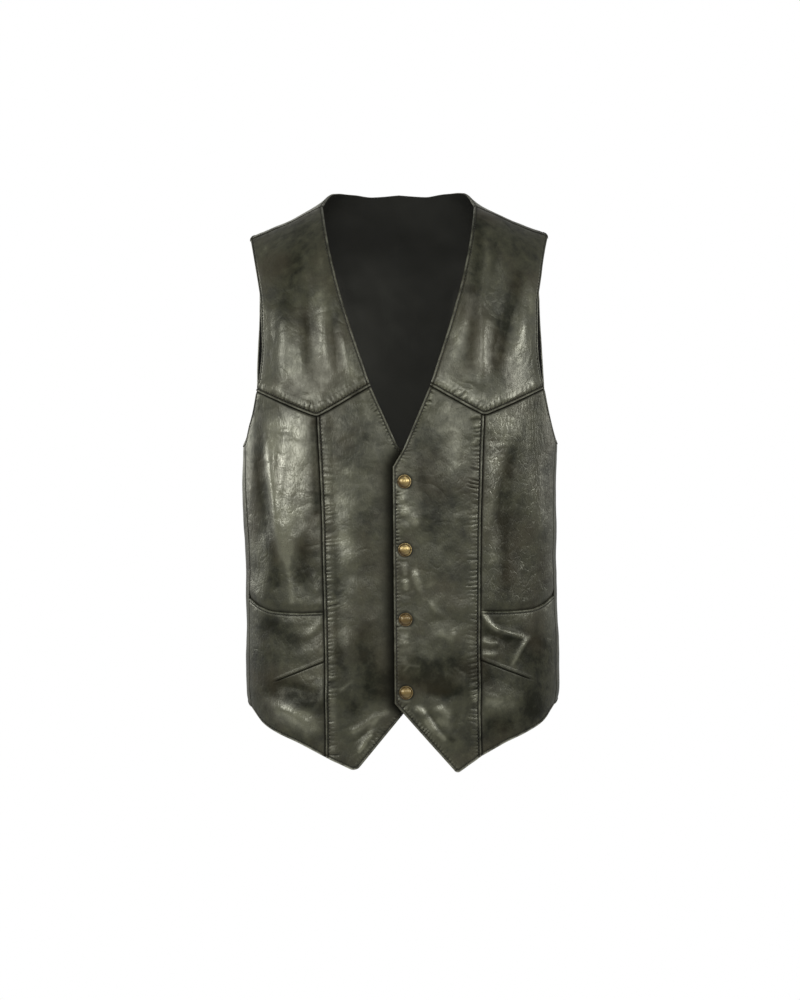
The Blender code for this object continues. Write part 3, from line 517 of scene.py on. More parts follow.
# Stitch grooves darken, partly grime in the holes and partly painted shade, fully at this groove depth
GROOVE_FULL_SHADE = 0.0005
# The seam allowance's swell also raises the tone: paler dye and painted sheen on it
ALLOWANCE = (0.0105, 0.0145)
ALLOWANCE_TONE = 250.0
WEAR_AND_HIGHLIGHT_AT = 0.0009
WEAR_AND_HIGHLIGHT_WIDTH = 0.0008
Pucker = namedtuple("Pucker", "period fade_start fade_end")
PUCKERS = {
    "lap": Pucker(0.0060, 0.0085, 0.0145),
    "turned": Pucker(0.0041, 0.0050, 0.0090),
    "hem": Pucker(0.0046, 0.0050, 0.0100),
}
PUCKER_HEIGHT = 0.0011
# Puckers paint shade in their valleys, and through the tone paler dye and painted sheen on their crests
PUCKER_TONE = 1.2
PUCKER_SHADE = 1.0
PUCKER_START = 0.0008
PUCKER_DRIFT = (0.012, 0.8)
PUCKER_LEAN = (0.030, 0.25)
PUCKER_REACH = (0.006, 0.3)
PUCKER_PATCH = (0.016, 0.55, 0.95)
PUCKER_LEAST = 0.3
PUCKER_MEAN = 0.6

# Stitches pull the leather in, and through the tone the bumps between them get paler dye and painted sheen;
# drawn on gathered seams alone, where the mesh is fine
STITCH_PULL = 0.00025
STITCH_PULL_WIDTH = 0.0009
STITCH_TONE = 1.0
STITCH_GATHER = 0.5
STITCH_PULL_AT = 1.5 * STITCH_PULL_WIDTH

# One stitch: rings and sides of its mesh, half its length as a share of the pitch, its arch and ends
STITCH_RINGS = 5
STITCH_SIDES = 6
STITCH_HALF = 0.29
STITCH_RISE = 0.75
STITCH_DIP = 1.5
STITCH_TAPER = 0.7

# How strongly each edge is gathered
YOKE_GATHER = {"seam": 1.0, "neck": 0.15, "armhole": 0.35}
CENTRE_GATHER = {"seam": 1.0, "front": 1.3, "hem": 0.15}
SIDE_GATHER = {"armhole": 0.2}
POCKET_GATHER = {"mouth": 0.2, "hem": 0.1}
BACK_GATHER = {"hem": 0.1, "armhole": 0.2, "neck": 0.1}

# How strongly pebbles and fine creases show on each panel
Grain = namedtuple("Grain", "pebble crease")
YOKE_GRAIN = Grain(0.4, 0.2)
CENTRE_GRAIN = Grain(0.4, 0.28)
SIDE_GRAIN = {1: Grain(0.5, 0.7), -1: Grain(0.35, 0.3)}
POCKET_GRAIN = Grain(0.45, 0.35)
BACK_GRAIN = Grain(0.5, 0.4)

# Edges of a grid, with the walks inward that find the stitch rows, and the laps behind a seam
Edge = namedtuple("Edge", "kind spots walks pucker")
EDGE_SEED_STEP = 10
LEAST_WALL = 0.0003
LEAST_ROW = 3
LINE_STEP = 0.0005
WALK_DEPTH = 40
CORNER_CLEAR = 0.0024
TUCKED = ("under", "seam", "shoulder")
TUCK = 0.0014
TUCK_DEPTH = 0.0002

# Snaps: places, tarnish and painted shade on the lower left of each cap, painted shadow round it, and least
# tarnish of each by age
SNAP_HEIGHTS = (-0.313, -0.387, -0.463, -0.5425)
SNAP_STEPS = 64
SNAP_CALM = 0.012
PART_GAP = 0.0003
LOW_TARNISH_AND_SHADE = (0.0030, -0.0055)
LOW_TARNISH_AND_SHADE_SHARE = 0.9
LOW_TARNISH_AND_SHADE_LEAN = (0.65, 0.75)
SNAP_PAINTED_SHADOW = 0.6
SNAP_PAINTED_SHADOW_AT = 0.0078
SNAP_PAINTED_SHADOW_WIDTH = 0.0016
SNAP_AGE = (0.0, 0.1, 0.8, 0.65)

# Leather pressed up in a crescent below each snap, worn pale and given a painted highlight, in millimetres
PRESS_RADIUS = 9.4
PRESS_ANGLES = (195, 220, 245, 270, 290)
PRESS_ARCS = tuple(
    tuple((LAP_AXIS_X / MM + PRESS_RADIUS * math.cos(math.radians(angle)),
           height / MM + PRESS_RADIUS * math.sin(math.radians(angle))) for angle in PRESS_ANGLES)
    for height in SNAP_HEIGHTS)
FRONT_CREASES += tuple(Crease(2.0, 1.0, arc) for arc in PRESS_ARCS)
FRONT_DYE_AND_SHEEN = YOKE_DYE_AND_SHEEN + SIDE_DYE_AND_SHEEN + CENTRE_DYE_AND_SHEEN + POCKET_DYE_AND_SHEEN + tuple(DyeAndSheen(1.8, 1.2, arc) for arc in PRESS_ARCS)

# Profiles of the snap pieces: radius and height in millimetres, and tarnish from 0 to 1
Turned = namedtuple("Turned", "radius height tarnish")
SNAP_CAP = (
    Turned(0.0, 3.60, 0.0),
    Turned(1.0, 3.57, 0.0),
    Turned(2.0, 3.46, 0.0),
    Turned(3.0, 3.25, 0.0),
    Turned(4.0, 2.92, 0.05),
    Turned(4.8, 2.52, 0.15),
    Turned(5.4, 2.08, 0.35),
    Turned(5.8, 1.62, 0.7),
    Turned(6.0, 1.22, 1.0),
    Turned(6.2, 1.05, 1.0),
    Turned(6.4, 1.12, 0.8),
    Turned(6.6, 1.36, 0.3),
    Turned(6.9, 1.52, 0.0),
    Turned(7.2, 1.42, 0.0),
    Turned(7.42, 1.10, 0.1),
    Turned(7.48, 0.70, 0.4),
    Turned(7.30, 0.0, 1.0),
    Turned(0.0, 0.0, 1.0),
)
SNAP_SOCKET = (
    Turned(0.0, 1.8, 0.3),
    Turned(4.2, 1.8, 0.3),
    Turned(4.8, 1.6, 0.2),
    Turned(5.2, 1.1, 0.3),
    Turned(5.2, 0.0, 0.6),
    Turned(0.0, 0.0, 0.6),
)
SNAP_POST = (
    Turned(0.0, 0.9, 0.5),
    Turned(2.6, 0.95, 0.5),
    Turned(3.4, 1.22, 0.1),
    Turned(4.2, 1.28, 0.0),
    Turned(5.0, 1.02, 0.1),
    Turned(5.5, 0.5, 0.3),
    Turned(5.5, 0.0, 0.6),
    Turned(0.0, 0.0, 0.6),
)

# Grid steps of the panels, runs of the back's grid lines, and the closer lines at a worked edge
STEP = 0.0018
PUCKER_STEP = 0.00105
BACK_STEP = 0.0027
BACK_SIDE_RUN = 0.075
BACK_SHOULDER_RUN = 0.105
BACK_NECK_RUN = 0.120
BACK_LOW_RUN = 0.29
BACK_HIGH_RUN = 0.25
BACK_TIP_RUN = 0.06
EDGE_LINES = (0.0, 0.0004, 0.0008, 0.0013, 0.0019, 0.0025, 0.0030, 0.0034, 0.0038, 0.0043, 0.0050)
BACK_EDGE_LINES = (0.0, 0.0006, 0.0013, 0.0022, 0.0030, 0.0036, 0.0046)
ARC_SAMPLES = 400
PROBE = 0.0002
PROBE_ANGLE = 0.1
MERGE = 1e-6
SHARP_ANGLE = 60.0

# Flat cut of each panel as it shows: width, length and area
FlatCut = namedtuple("FlatCut", "width length area")

# Photo camera and studio
CAMERA_DISTANCE = 3.2
CAMERA_SPAN = 1.13
CAMERA_AIM = (-0.00136, 0.0, -0.333)
CAMERA_ROLL = -0.5
SENSOR = 36.0
FLOOR_Z = -1.40
FLOOR_RADIUS = 2.3
FLOOR_STEPS = 96
Softbox = namedtuple("Softbox", "name place width height power")
LIGHT_AIM = (0.0, 0.0, -0.28)
SOFTBOXES = (
    Softbox("front_softbox", (0.0, -1.78, -0.03), 0.45, 0.45, 3.4),
    Softbox("left_softbox", (-1.02, -1.46, -0.03), 0.45, 0.60, 9.0),
    Softbox("far_left_softbox", (-1.60, -0.75, 0.09), 0.45, 0.45, 10.0),
    Softbox("right_softbox", (0.80, -1.57, 0.09), 0.70, 0.45, 7.2),
    Softbox("far_right_softbox", (1.60, -0.75, 0.09), 0.45, 0.45, 9.0),
    Softbox("top_softbox", (0.25, -0.55, 1.15), 0.40, 0.40, 1.5),
    Softbox("snap_softbox", (0.50, -0.80, 0.60), 0.26, 0.26, 1.4),
    Softbox("back_left_softbox", (-1.9, 1.1, 0.1), 0.8, 0.8, 14.0),
    Softbox("back_right_softbox", (1.9, 1.1, 0.1), 0.8, 0.8, 6.0),
    Softbox("back_softbox", (-0.6, 2.6, 0.5), 2.2, 1.6, 10.0),
)

# Leather finish: shares of clouds and of placed patches (dye and painted highlight and shade) in the dye, the
# wax and the shine, and of dirt and painted shade
CLOUD_SHARE = 0.45
DYE_AND_PAINTED_LIGHT_SHIFT = 0.14
DYE_STOPS = (0.33, 0.57, 0.80)
WAX_SWING = (0.07, -0.06)
POLISH = -0.05
SHEEN_SWING = 0.5
SHEEN_BASE = 0.25
SHEEN_SHIFT = 0.32
DIRT_AND_SHADE_ROUGHNESS = 0.9
DIRT_AND_SHADE_SHEEN = 0.1
PULL_SIZE = 0.010
PULL_REACH = 0.005

# Second tones of lining, thread and floor, as shares of the first, and sizes of their patterns
RIB_DARK = 0.8
RIB_SCALE = 25.0
LINT_PALE = 2.0
LINT_SIZE = 0.002
TARNISH_SPOT = 0.003
ROLLER_DARK = 0.98
ROLLER_MARK = 0.25

# The two fronts: side in names, and the sign of X
HANDS = (("left", 1), ("right", -1))

stitch_rows = {}


def linear(code):
    """A colour's sRGB hex code as linear red, green and blue."""
    parts = [int(code[i:i + 2], 16) / 255 for i in (1, 3, 5)]
    return tuple(p / 12.92 if p <= 0.04045 else ((p + 0.055) / 1.055) ** 2.4 for p in parts)


def column(table, name):
    """One named column of a table."""
    return np.array([getattr(row, name) for row in table])


def curve(keys, values, at):
    """Smooth curve through table values that never overshoots them."""
    order = np.argsort(keys)
    keys = np.asarray(keys, float)[order]
    values = np.asarray(values, float)[order]
    at = np.clip(np.asarray(at, float), keys[0], keys[-1])
    gap = np.diff(keys)
    slope = np.diff(values) / gap
    tangent = np.zeros(len(keys))
    same = slope[:-1] * slope[1:] > 0
    weight_a = 2 * gap[1:] + gap[:-1]
    weight_b = gap[1:] + 2 * gap[:-1]
    safe_a = np.where(same, slope[:-1], 1.0)
    safe_b = np.where(same, slope[1:], 1.0)
    mean = (weight_a + weight_b) / (weight_a / safe_a + weight_b / safe_b)
    tangent[1:-1] = np.where(same, mean, 0.0)
    tangent[0] = slope[0]
    tangent[-1] = slope[-1]
    cell = np.clip(np.searchsorted(keys, at, side="right") - 1, 0, len(gap) - 1)
    part = (at - keys[cell]) / gap[cell]
    rest = 1 - part
    start = values[cell] * (1 + 2 * part) * rest ** 2 + tangent[cell] * gap[cell] * part * rest ** 2
    end = values[cell + 1] * (3 - 2 * part) * part ** 2 - tangent[cell + 1] * gap[cell] * rest * part ** 2
    return start + end


def lookup(table, key, value, at):
    """Smooth value of one table column against another."""
    return curve(column(table, key), column(table, value), at)


def ease(start, end, at):
    """Smooth 0 to 1 as a value goes from start to end."""
    part = np.clip((np.asarray(at, float) - start) / (end - start), 0, 1)
    return part * part * (3 - 2 * part)


def bell(at, middle, width):
    """Soft bump of height 1 round a middle."""
    return np.exp(-((at - middle) / width) ** 2)


def soft_noise(first, second, size, seed):
    """Smooth random hills of one size, from -1 to 1."""
    cells = np.random.default_rng(seed).uniform(-1, 1, (NOISE_CELLS, NOISE_CELLS))
    u = np.asarray(first, float) / size
    v = np.asarray(second, float) / size + np.zeros(np.shape(u))
    i = np.floor(u).astype(int)
    j = np.floor(v).astype(int)
    s = ease(0, 1, u - i)
    t = ease(0, 1, v - j)

    def at(right, up):
        return cells[(i + right) % NOISE_CELLS, (j + up) % NOISE_CELLS]

    low = at(0, 0) * (1 - s) + at(1, 0) * s
    high = at(0, 1) * (1 - s) + at(1, 1) * s
    return low * (1 - t) + high * t


def ridge_height(x):
    """Height of the shoulder ridge over a distance from the middle."""
    return lookup(SHOULDER_RIDGE, "across", "height", np.abs(x))


def reach(x, half_width):
    """Share of the full depth that a section keeps at a distance from the middle."""
    near = np.clip(np.abs(x) / half_width, 0, 1)
    return (1 - near ** SQUARENESS) ** (1 / SQUARENESS)


def front_point(x, z):
    """Point on the front of the form."""
    half_width = lookup(TORSO, "height", "half_width", z)
    depth = lookup(TORSO, "height", "front_depth", z)
    rise = np.clip((z - CHEST_Z) / (ridge_height(x) - CHEST_Z), 0, 1)
    lean = (1 - rise ** ARCH_POWER) ** (1 / ARCH_POWER)
    y = RIDGE_Y * rise ** 2 - depth * reach(x, half_width) * lean
    return np.stack([x, y, z], axis=-1)


def arch_point(x, angle):
    """Point on the arch over the shoulder: 0 front chest, 90 ridge, 180 back chest."""
    turn = np.radians(angle)
    up = np.abs(np.sin(turn)) ** (2 / ARCH_POWER)
    along = np.sign(np.cos(turn)) * np.abs(np.cos(turn)) ** (2 / ARCH_POWER)
    z = CHEST_Z + (ridge_height(x) - CHEST_Z) * up
    half_width = lookup(TORSO, "height", "half_width", z)
    front = lookup(TORSO, "height", "front_depth", z)
    back = lookup(TORSO, "height", "back_depth", z)
    depth = np.where(along > 0, front, back)
    y = RIDGE_Y * up ** 2 - depth * reach(x, half_width) * along
    stand = lookup(NECK_STAND, "across", "lift", np.abs(x))
    stand = stand * ease(*NECK_STAND_RISE, up) * ease(*NECK_STAND_TURN, angle)
    return np.stack([x, y, z + stand], axis=-1)


def round_point(angle, z):
    """Point round the body at a height: 0 front middle, 90 left side, 180 back middle."""
    turn = np.radians(angle)
    half_width = lookup(TORSO, "height", "half_width", z)
    front = lookup(TORSO, "height", "front_depth", z)
    back = lookup(TORSO, "height", "back_depth", z)
    side = np.sin(turn)
    ahead = np.cos(turn)
    power = 2 / SQUARENESS
    x = half_width * np.sign(side) * np.abs(side) ** power
    y = -np.where(ahead > 0, front, back) * np.sign(ahead) * np.abs(ahead) ** power
    return np.stack([x, y, z + 0 * x], axis=-1)


def directions(form, first, second, first_step, second_step):
    """Outward directions of a form at its two coordinates."""
    along = form(first + first_step, second) - form(first - first_step, second)
    aside = form(first, second + second_step) - form(first, second - second_step)
    normal = np.cross(along, aside)
    normal = normal / np.linalg.norm(normal, axis=-1, keepdims=True)
    point = form(first, second)
    inside = np.zeros(point.shape)
    inside[..., 2] = np.minimum(point[..., 2], CHEST_Z)
    outward = np.sum(normal * (point - inside), axis=-1, keepdims=True)
    return normal * np.sign(outward)


def fold_rise(folds, x, z):
    """How far the folds lift the wall off the form."""
    total = np.zeros(np.shape(x))
    for fold in folds:
        lean = math.radians(fold.lean)
        along = (x - fold.across) * math.sin(lean) + (z - fold.height) * math.cos(lean)
        beside = (x - fold.across) * math.cos(lean) - (z - fold.height) * math.sin(lean)
        total = total + fold.rise * bell(beside, 0, fold.half_width) * bell(along, 0, fold.half_length)
    return total


def smooth_path(path):
    """A crease's line in metres, rounded through its points."""
    points = np.array(path, float) * MM
    keys = np.arange(len(points))
    at = np.linspace(0, len(points) - 1, CREASE_SAMPLES * (len(points) - 1) + 1)
    return np.stack([curve(keys, points[:, axis], at) for axis in range(2)], axis=-1)


def path_gap(spots, line):
    """Distance of flat spots from a line, and the share of the line where each is nearest."""
    span = np.diff(line, axis=0)
    away = spots[:, None] - line[None, :-1]
    share = np.clip(np.sum(away * span, axis=-1) / np.sum(span ** 2, axis=-1), 0, 1)
    gap = np.linalg.norm(away - share[..., None] * span, axis=-1)
    nearest = np.argmin(gap, axis=1)
    row = np.arange(len(spots))
    return gap[row, nearest], (nearest + share[row, nearest]) / len(span)


def stroke_sum(strokes, x, z, taper):
    """Soft strokes along given lines, added up; a taper lets each fade to its ends."""
    total = np.zeros(np.shape(x))
    for half_width, height, path in strokes:
        line = smooth_path(path)
        width = half_width * MM
        low = line.min(axis=0) - CREASE_REACH * width
        high = line.max(axis=0) + CREASE_REACH * width
        near = (x > low[0]) & (x < high[0]) & (z > low[1]) & (z < high[1])
        if not near.any():
            continue
        gap, share = path_gap(np.stack([x[near], z[near]], axis=-1), line)
        fade = ease(0, taper, share) * ease(0, taper, 1 - share) if taper else 1.0
        total[near] += height * bell(gap, 0, width) * fade
    return total


def crease_rise(creases, x, z):
    """How far the listed creases lift the wall."""
    return MM * stroke_sum(creases, x, z, CREASE_TAPER)


def dye_tone(dye, creases, x, z):
    """Tone of dye and painted sheen, dark below 0 and pale above: placed patches, and crease troughs darker
    and ridges paler, partly worn dye and partly painted shade and highlight.
    """
    return stroke_sum(dye, x, z, 0.0) + CREASE_TONE * stroke_sum(creases, x, z, CREASE_TAPER)


def hide_rise(x, z, seed):
    """Soft unevenness of the hide."""
    return sum(layer.rise * soft_noise(x, z, layer.size, layer.seed + seed) for layer in HIDE_LAYERS)


def snap_gap(x, z):
    """Distance from the nearest snap's middle."""
    return np.min([np.hypot(x - LAP_AXIS_X, z - height) for height in SNAP_HEIGHTS], axis=0)


def snap_calm(x, z):
    """0 at the snaps, where the leather is held flat, 1 away from them."""
    return 1 - np.exp(-(snap_gap(x, z) / SNAP_CALM) ** 2)


def front_rise(x, z):
    """Folds, creases and unevenness of the fronts."""
    small = crease_rise(FRONT_CREASES, x, z) + hide_rise(x, z, 0)
    return fold_rise(FRONT_FOLDS, x, z) + small * snap_calm(x, z)


def back_rise(points):
    """Folds, creases and unevenness of the back, running into those of the fronts at the sides."""
    x = points[..., 0]
    z = points[..., 2]
    behind = ease(*BACK_FOLD_FADE_Y, points[..., 1])
    ahead = 1 - ease(*FRONT_FOLD_FADE_Y, points[..., 1])
    own = fold_rise(BACK_FOLDS, x, z) + crease_rise(BACK_CREASES, x, z) + hide_rise(x, z, BACK_SEED)
    return own * behind + front_rise(x, z) * ahead


def fine_shares(length, step, start=True, end=True, lines=EDGE_LINES):
    """Shares of a length: even steps, with closer lines at the edges that are worked."""
    head = np.array(lines if start else lines[:1])
    tail = length - np.array(lines if end else lines[:1])[::-1]
    count = max(2, round((tail[0] - head[-1]) / step))
    return np.concatenate([head[:-1], np.linspace(head[-1], tail[0], count + 1), tail[1:]]) / length


def along_line(points, shares):
    """Points at shares of the length of a line."""
    points = np.asarray(points, float)
    length = np.concatenate([[0.0], np.cumsum(np.linalg.norm(np.diff(points, axis=0), axis=1))])
    at = np.asarray(shares) * length[-1]
    return np.stack([np.interp(at, length, axis) for axis in points.T], axis=-1)


def patch(top, bottom, inner, outer, across, down):
    """Grid of cut points between four edges that share their corners."""
    u = across[None, :, None]
    v = down[:, None, None]
    between = (1 - v) * top[None] + v * bottom[None] + (1 - u) * inner[:, None] + u * outer[:, None]
    corners = (1 - u) * (1 - v) * top[0] + u * (1 - v) * top[-1]
    corners = corners + (1 - u) * v * bottom[0] + u * v * bottom[-1]
    return between - corners


def pocket_line(name, share):
    """Height of the pocket mouth, dart or hem at a share of the side panel's width."""
    return lookup(POCKET_LINES, "share", name, share)


def panel_seam(z):
    """Distance of the seam between centre and side panel from the middle."""
    return lookup(PANEL_SEAM, "height", "across", z)


def side_edge(z):
    """Outer edge of the fronts: the armhole, then the side seam."""
    armhole = lookup(ARMHOLE_EDGE, "height", "across", z)
    seam = lookup(SIDE_SEAM, "height", "across", z)
    return np.where(z > UNDERARM_Z, armhole, seam)


def side_cut(share, z):
    """Cut points of the side panels at shares of the way from seam to outer edge."""
    inner = panel_seam(z) + SEAM_GAP / 2
    outer = side_edge(z) - SEAM_GAP / 2
    return np.stack([inner + (outer - inner) * share, z], axis=-1)


def point_round(x):
    """How far the rounded yoke point lies above its corner."""
    run = YOKE_SLOPE * np.abs(x - YOKE_POINT.across)
    return np.sqrt(run ** 2 + YOKE_POINT_ROUND ** 2) - run


def yoke_seam_side(share):
    """Yoke seam from the yoke point to the armhole."""
    z = YOKE_POINT.height + (YOKE_ARMHOLE_Z - YOKE_POINT.height) * share
    line = side_cut(share, z)
    line[:, 1] += point_round(line[:, 0])
    return line


def yoke_seam_centre(shares):
    """Yoke seam from the neck edge to the yoke point."""
    start = np.array([YOKE_NECK.across, YOKE_NECK.height])
    end = np.array([YOKE_POINT.across, YOKE_POINT.height])
    line = start + (end - start) * shares[:, None]
    line[:, 1] += point_round(line[:, 0])
    return line


def lap_rise(x, z, hand):
    """The left front rides over the right one near the front edge."""
    if hand < 0:
        return np.zeros(np.shape(x))
    beside = 1 - ease(LAP_FADE_X[0], LAP_FADE_X[1], x)
    below = ease(LAP_FADE_Z[0], LAP_FADE_Z[1], z)
    return (LEATHER + LAP_GAP) * beside * below


def add_object(name, data):
    """Put a new object with its mesh, lamp or camera into the scene."""
    thing = bpy.data.objects.new(name, data)
    bpy.context.collection.objects.link(thing)
    return thing


def rim_edge(shape, side, kind, pucker=0.0, part=slice(None)):
    """One edge of a grid of points, with the grid lines that walk inward from it."""
    rows, columns = shape
    j = np.arange(rows)
    i = np.arange(columns)
    inward = {"top": j, "bottom": j[::-1], "inner": i, "outer": i[::-1]}[side][:WALK_DEPTH]
    still = 0 * inward
    if side in ("top", "bottom"):
        spots = (0 * i[part] + inward[0], i[part])
        walks = [(inward, still + k) for k in i[part]]
    else:
        spots = (j[part], 0 * j[part] + inward[0])
        walks = [(still + k, inward) for k in j[part]]
    return Edge(kind, spots, walks, pucker)


def near_line(points, line):
    """Distance of each point from an edge, and how far along the edge the nearest place is."""
    length = np.sum(np.linalg.norm(np.diff(line, axis=0), axis=1))
    count = max(4, int(length / LINE_STEP))
    dense = along_line(line, np.linspace(0, 1, count + 1))
    tangent = np.gradient(dense, axis=0)
    tangent = tangent / np.linalg.norm(tangent, axis=1, keepdims=True)
    tree = kdtree.KDTree(len(dense))
    for number, spot in enumerate(dense):
        tree.insert(spot, number)
    tree.balance()
    flat = points.reshape(-1, 3)
    nearest = np.array([tree.find(spot)[1] for spot in flat])
    away = flat - dense[nearest]
    beside = np.sum(away * tangent[nearest], axis=1)
    inside = (nearest > 0) & (nearest < count)
    square = np.sum(away ** 2, axis=1) - np.where(inside, beside ** 2, 0.0)
    gap = np.sqrt(np.maximum(square, 0.0))
    along = nearest * length / count + np.where(inside, beside, 0.0)
    return gap.reshape(points.shape[:-1]), along.reshape(points.shape[:-1])


def pucker_wave(kind, gap, along, seed):
    """Gathers along a seam: broad crests and narrow valleys, uneven in place, lean and strength."""
    drift, drift_share = PUCKER_DRIFT
    lean, lean_share = PUCKER_LEAN
    stretch, stretch_share = PUCKER_REACH
    size, mean, swing = PUCKER_PATCH
    start = EDGE_FORMS[kind].groove_at
    pucker = PUCKERS[kind]
    at = along + lean_share * gap * soft_noise(along, 0.0, lean, seed + 2)
    phase = at / pucker.period + drift_share * soft_noise(at, 0.0, drift, seed)
    crest = 1 - (1 - np.abs(np.sin(math.pi * phase))) ** 2
    strength = np.maximum(mean + swing * soft_noise(at, 0.0, size, seed + 1), PUCKER_LEAST)
    far = gap * (1 + stretch_share * soft_noise(at, 0.0, stretch, seed + 3))
    window = ease(start, start + PUCKER_START, gap) * (1 - ease(pucker.fade_start, pucker.fade_end, far))
    return (crest - PUCKER_MEAN) * strength * window


def edge_relief(edge, gap, along, seed):
    """Relief, worn edge with painted highlight, seam grime with painted shade, and tone of dye and painted
    sheen that an edge gives the leather beside it.
    """
    form = EDGE_FORMS[edge.kind]
    roll = -form.roll * (1 - np.clip(gap / form.roll_width, 0, 1)) ** 2
    fall = ease(form.ridge_width - RIDGE_SLOPE, form.ridge_width + RIDGE_SLOPE / 2, gap)
    ridge = form.ridge * ease(0, form.roll_width, gap) * (1 - fall)
    groove = bell(gap, form.groove_at, GROOVE_WIDTH) * np.sign(form.groove)
    swell = form.swell * ease(form.groove_at, 2 * form.groove_at, gap) * (1 - ease(*ALLOWANCE, gap))
    relief = roll + ridge - form.groove * groove + swell
    gather = edge.pucker * pucker_wave(edge.kind, gap, along, seed) if edge.pucker else np.zeros(gap.shape)
    wear = form.wear * bell(np.maximum(gap, WEAR_AND_HIGHLIGHT_AT), WEAR_AND_HIGHLIGHT_AT, WEAR_AND_HIGHLIGHT_WIDTH)
    shade = np.maximum(form.shade * bell(gap, 0, form.shade_width), form.groove / GROOVE_FULL_SHADE * groove)
    shade = np.maximum(shade, -PUCKER_SHADE * gather)
    tone = PUCKER_TONE * gather + ALLOWANCE_TONE * swell
    relief = relief + PUCKER_HEIGHT * gather
    if form.groove and edge.pucker > STITCH_GATHER:
        pitch = bpy.context.scene.vest_thread.pitch
        beside = bell(gap, form.groove_at + STITCH_PULL_AT, STITCH_PULL_WIDTH)
        pull = np.cos(2 * math.pi * along / pitch) * beside
        relief = relief + STITCH_PULL * pull
        tone = tone + STITCH_TONE * pull
    return relief, wear, shade, tone


def offset_line(outer, normals, gap, along, walks, distance, clear):
    """Line on the leather at a distance from an edge, where no other edge is near."""
    points = []
    aims = []
    places = []
    for walk in walks:
        gaps = gap[walk]
        past = np.argmax(gaps >= distance)
        if past == 0 or not clear[walk][past]:
            continue
        part = (distance - gaps[past - 1]) / (gaps[past] - gaps[past - 1])
        ends = outer[walk][past - 1:past + 1]
        points.append(ends[0] + (ends[1] - ends[0]) * part)
        aims.append(normals[walk][past])
        places.append(along[walk][past])
    order = np.argsort(places)
    return np.array(points)[order], np.array(aims)[order], np.array(places)[order]


def tuck_in(inner, normals, edge):
    """Lap the lining side of a seamed edge behind the next panel, so that no light comes through."""
    for down, across in edge.walks:
        away = inner[down[0], across[0]] - inner[down[1], across[1]]
        inner[down[0], across[0]] += TUCK * away / np.linalg.norm(away)
        inner[down[0], across[0]] -= TUCK_DEPTH * normals[down[0], across[0]]


def shell(name, outer, inner, kept, values, materials):
    """A closed leather panel: outer face, lining face and the rim between them."""
    rows, columns = outer.shape[:2]
    number = np.arange(rows * columns).reshape(rows, columns)
    j, i = np.nonzero(kept)
    quads = np.stack([number[j, i], number[j, i + 1], number[j + 1, i + 1], number[j + 1, i]], axis=1)
    flat = outer.reshape(-1, 3)
    middle = len(quads) // 2
    a, b, _, d = flat[quads[middle]]
    facing = np.cross(b - a, d - a) @ (flat[quads[middle, 0]] - inner.reshape(-1, 3)[quads[middle, 0]])
    if facing < 0:
        quads = quads[:, ::-1]
    used = np.unique(quads)
    place = np.zeros(rows * columns, int)
    place[used] = np.arange(len(used))
    quads = place[quads]
    total = len(used)
    starts = quads.ravel()
    ends = np.roll(quads, -1, axis=1).ravel()
    lone = ~np.isin(starts * total + ends, ends * total + starts)
    starts = starts[lone]
    ends = ends[lone]
    rim = np.stack([ends, starts, starts + total, ends + total], axis=1)
    faces = np.concatenate([quads, quads[:, ::-1] + total, rim])
    verts = np.concatenate([flat[used], inner.reshape(-1, 3)[used]])
    data = bpy.data.meshes.new(name)
    data.from_pydata(verts.tolist(), [], faces.tolist())
    for material in materials:
        data.materials.append(material)
    lining = np.zeros(len(faces), np.int32)
    lining[len(quads):2 * len(quads)] = 1
    data.polygons.foreach_set("material_index", lining)
    for label, value in values.items():
        spread = np.concatenate([value.ravel()[used], value.ravel()[used]])
        data.attributes.new(label, "FLOAT", "POINT").data.foreach_set("value", spread.astype(np.float32))
    data.shade_smooth()
    data.set_sharp_from_angle(angle=math.radians(SHARP_ANGLE))
    return add_object(name, data)


def leather_panel(name, points, normals, rise, extra, edges, grain, kept=None):
    """Work a panel's edges, close it as a shell, keep its rows for stitching, set it on the frame."""
    wall = bpy.context.scene.vest_leather.wall
    relief = extra["relief"].copy()
    wear = np.zeros(relief.shape)
    shade = extra["shade"].copy()
    tone = extra["tone"].copy()
    gaps = []
    places = []
    for number, edge in enumerate(edges):
        gap, along = near_line(points, points[edge.spots])
        seed = sum(map(ord, name)) + EDGE_SEED_STEP * number
        one_relief, one_wear_and_highlight, one_shade, one_tone = edge_relief(edge, gap, along, seed)
        relief = relief + one_relief
        tone = tone + one_tone
        wear = np.maximum(wear, one_wear_and_highlight)
        shade = np.maximum(shade, one_shade)
        gaps.append(gap)
        places.append(along)
    outer = points + normals * (rise + np.maximum(relief, LEAST_WALL - wall))[..., None]
    inner = points + normals * (rise - wall)[..., None]
    for edge in edges:
        if edge.kind in TUCKED:
            tuck_in(inner, normals, edge)
    if kept is None:
        kept = np.ones((points.shape[0] - 1, points.shape[1] - 1), bool)
    even = np.ones(wear.shape)
    values = {"wear": wear, "shade": shade, "tone": np.clip(tone, -1, TONE_LIMIT),
              "pebble": grain.pebble * even, "crease": grain.crease * even}
    materials = (leather_material(), lining_material())
    thing = shell(name + "_leather", outer, inner, kept, values, materials)
    rows = []
    for number, edge in enumerate(edges):
        form = EDGE_FORMS[edge.kind]
        if not form.groove:
            continue
        others = [gap for other, gap in enumerate(gaps) if other != number]
        clear = np.min(others, axis=0) > CORNER_CLEAR if others else np.ones(relief.shape, bool)
        rows.append(offset_line(
            outer, normals, gaps[number], places[number], edge.walks, form.groove_at, clear))
    stitch_rows[name] = [row for row in rows if len(row[0]) >= LEAST_ROW]
    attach(thing, "root")
    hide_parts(name)
    return thing


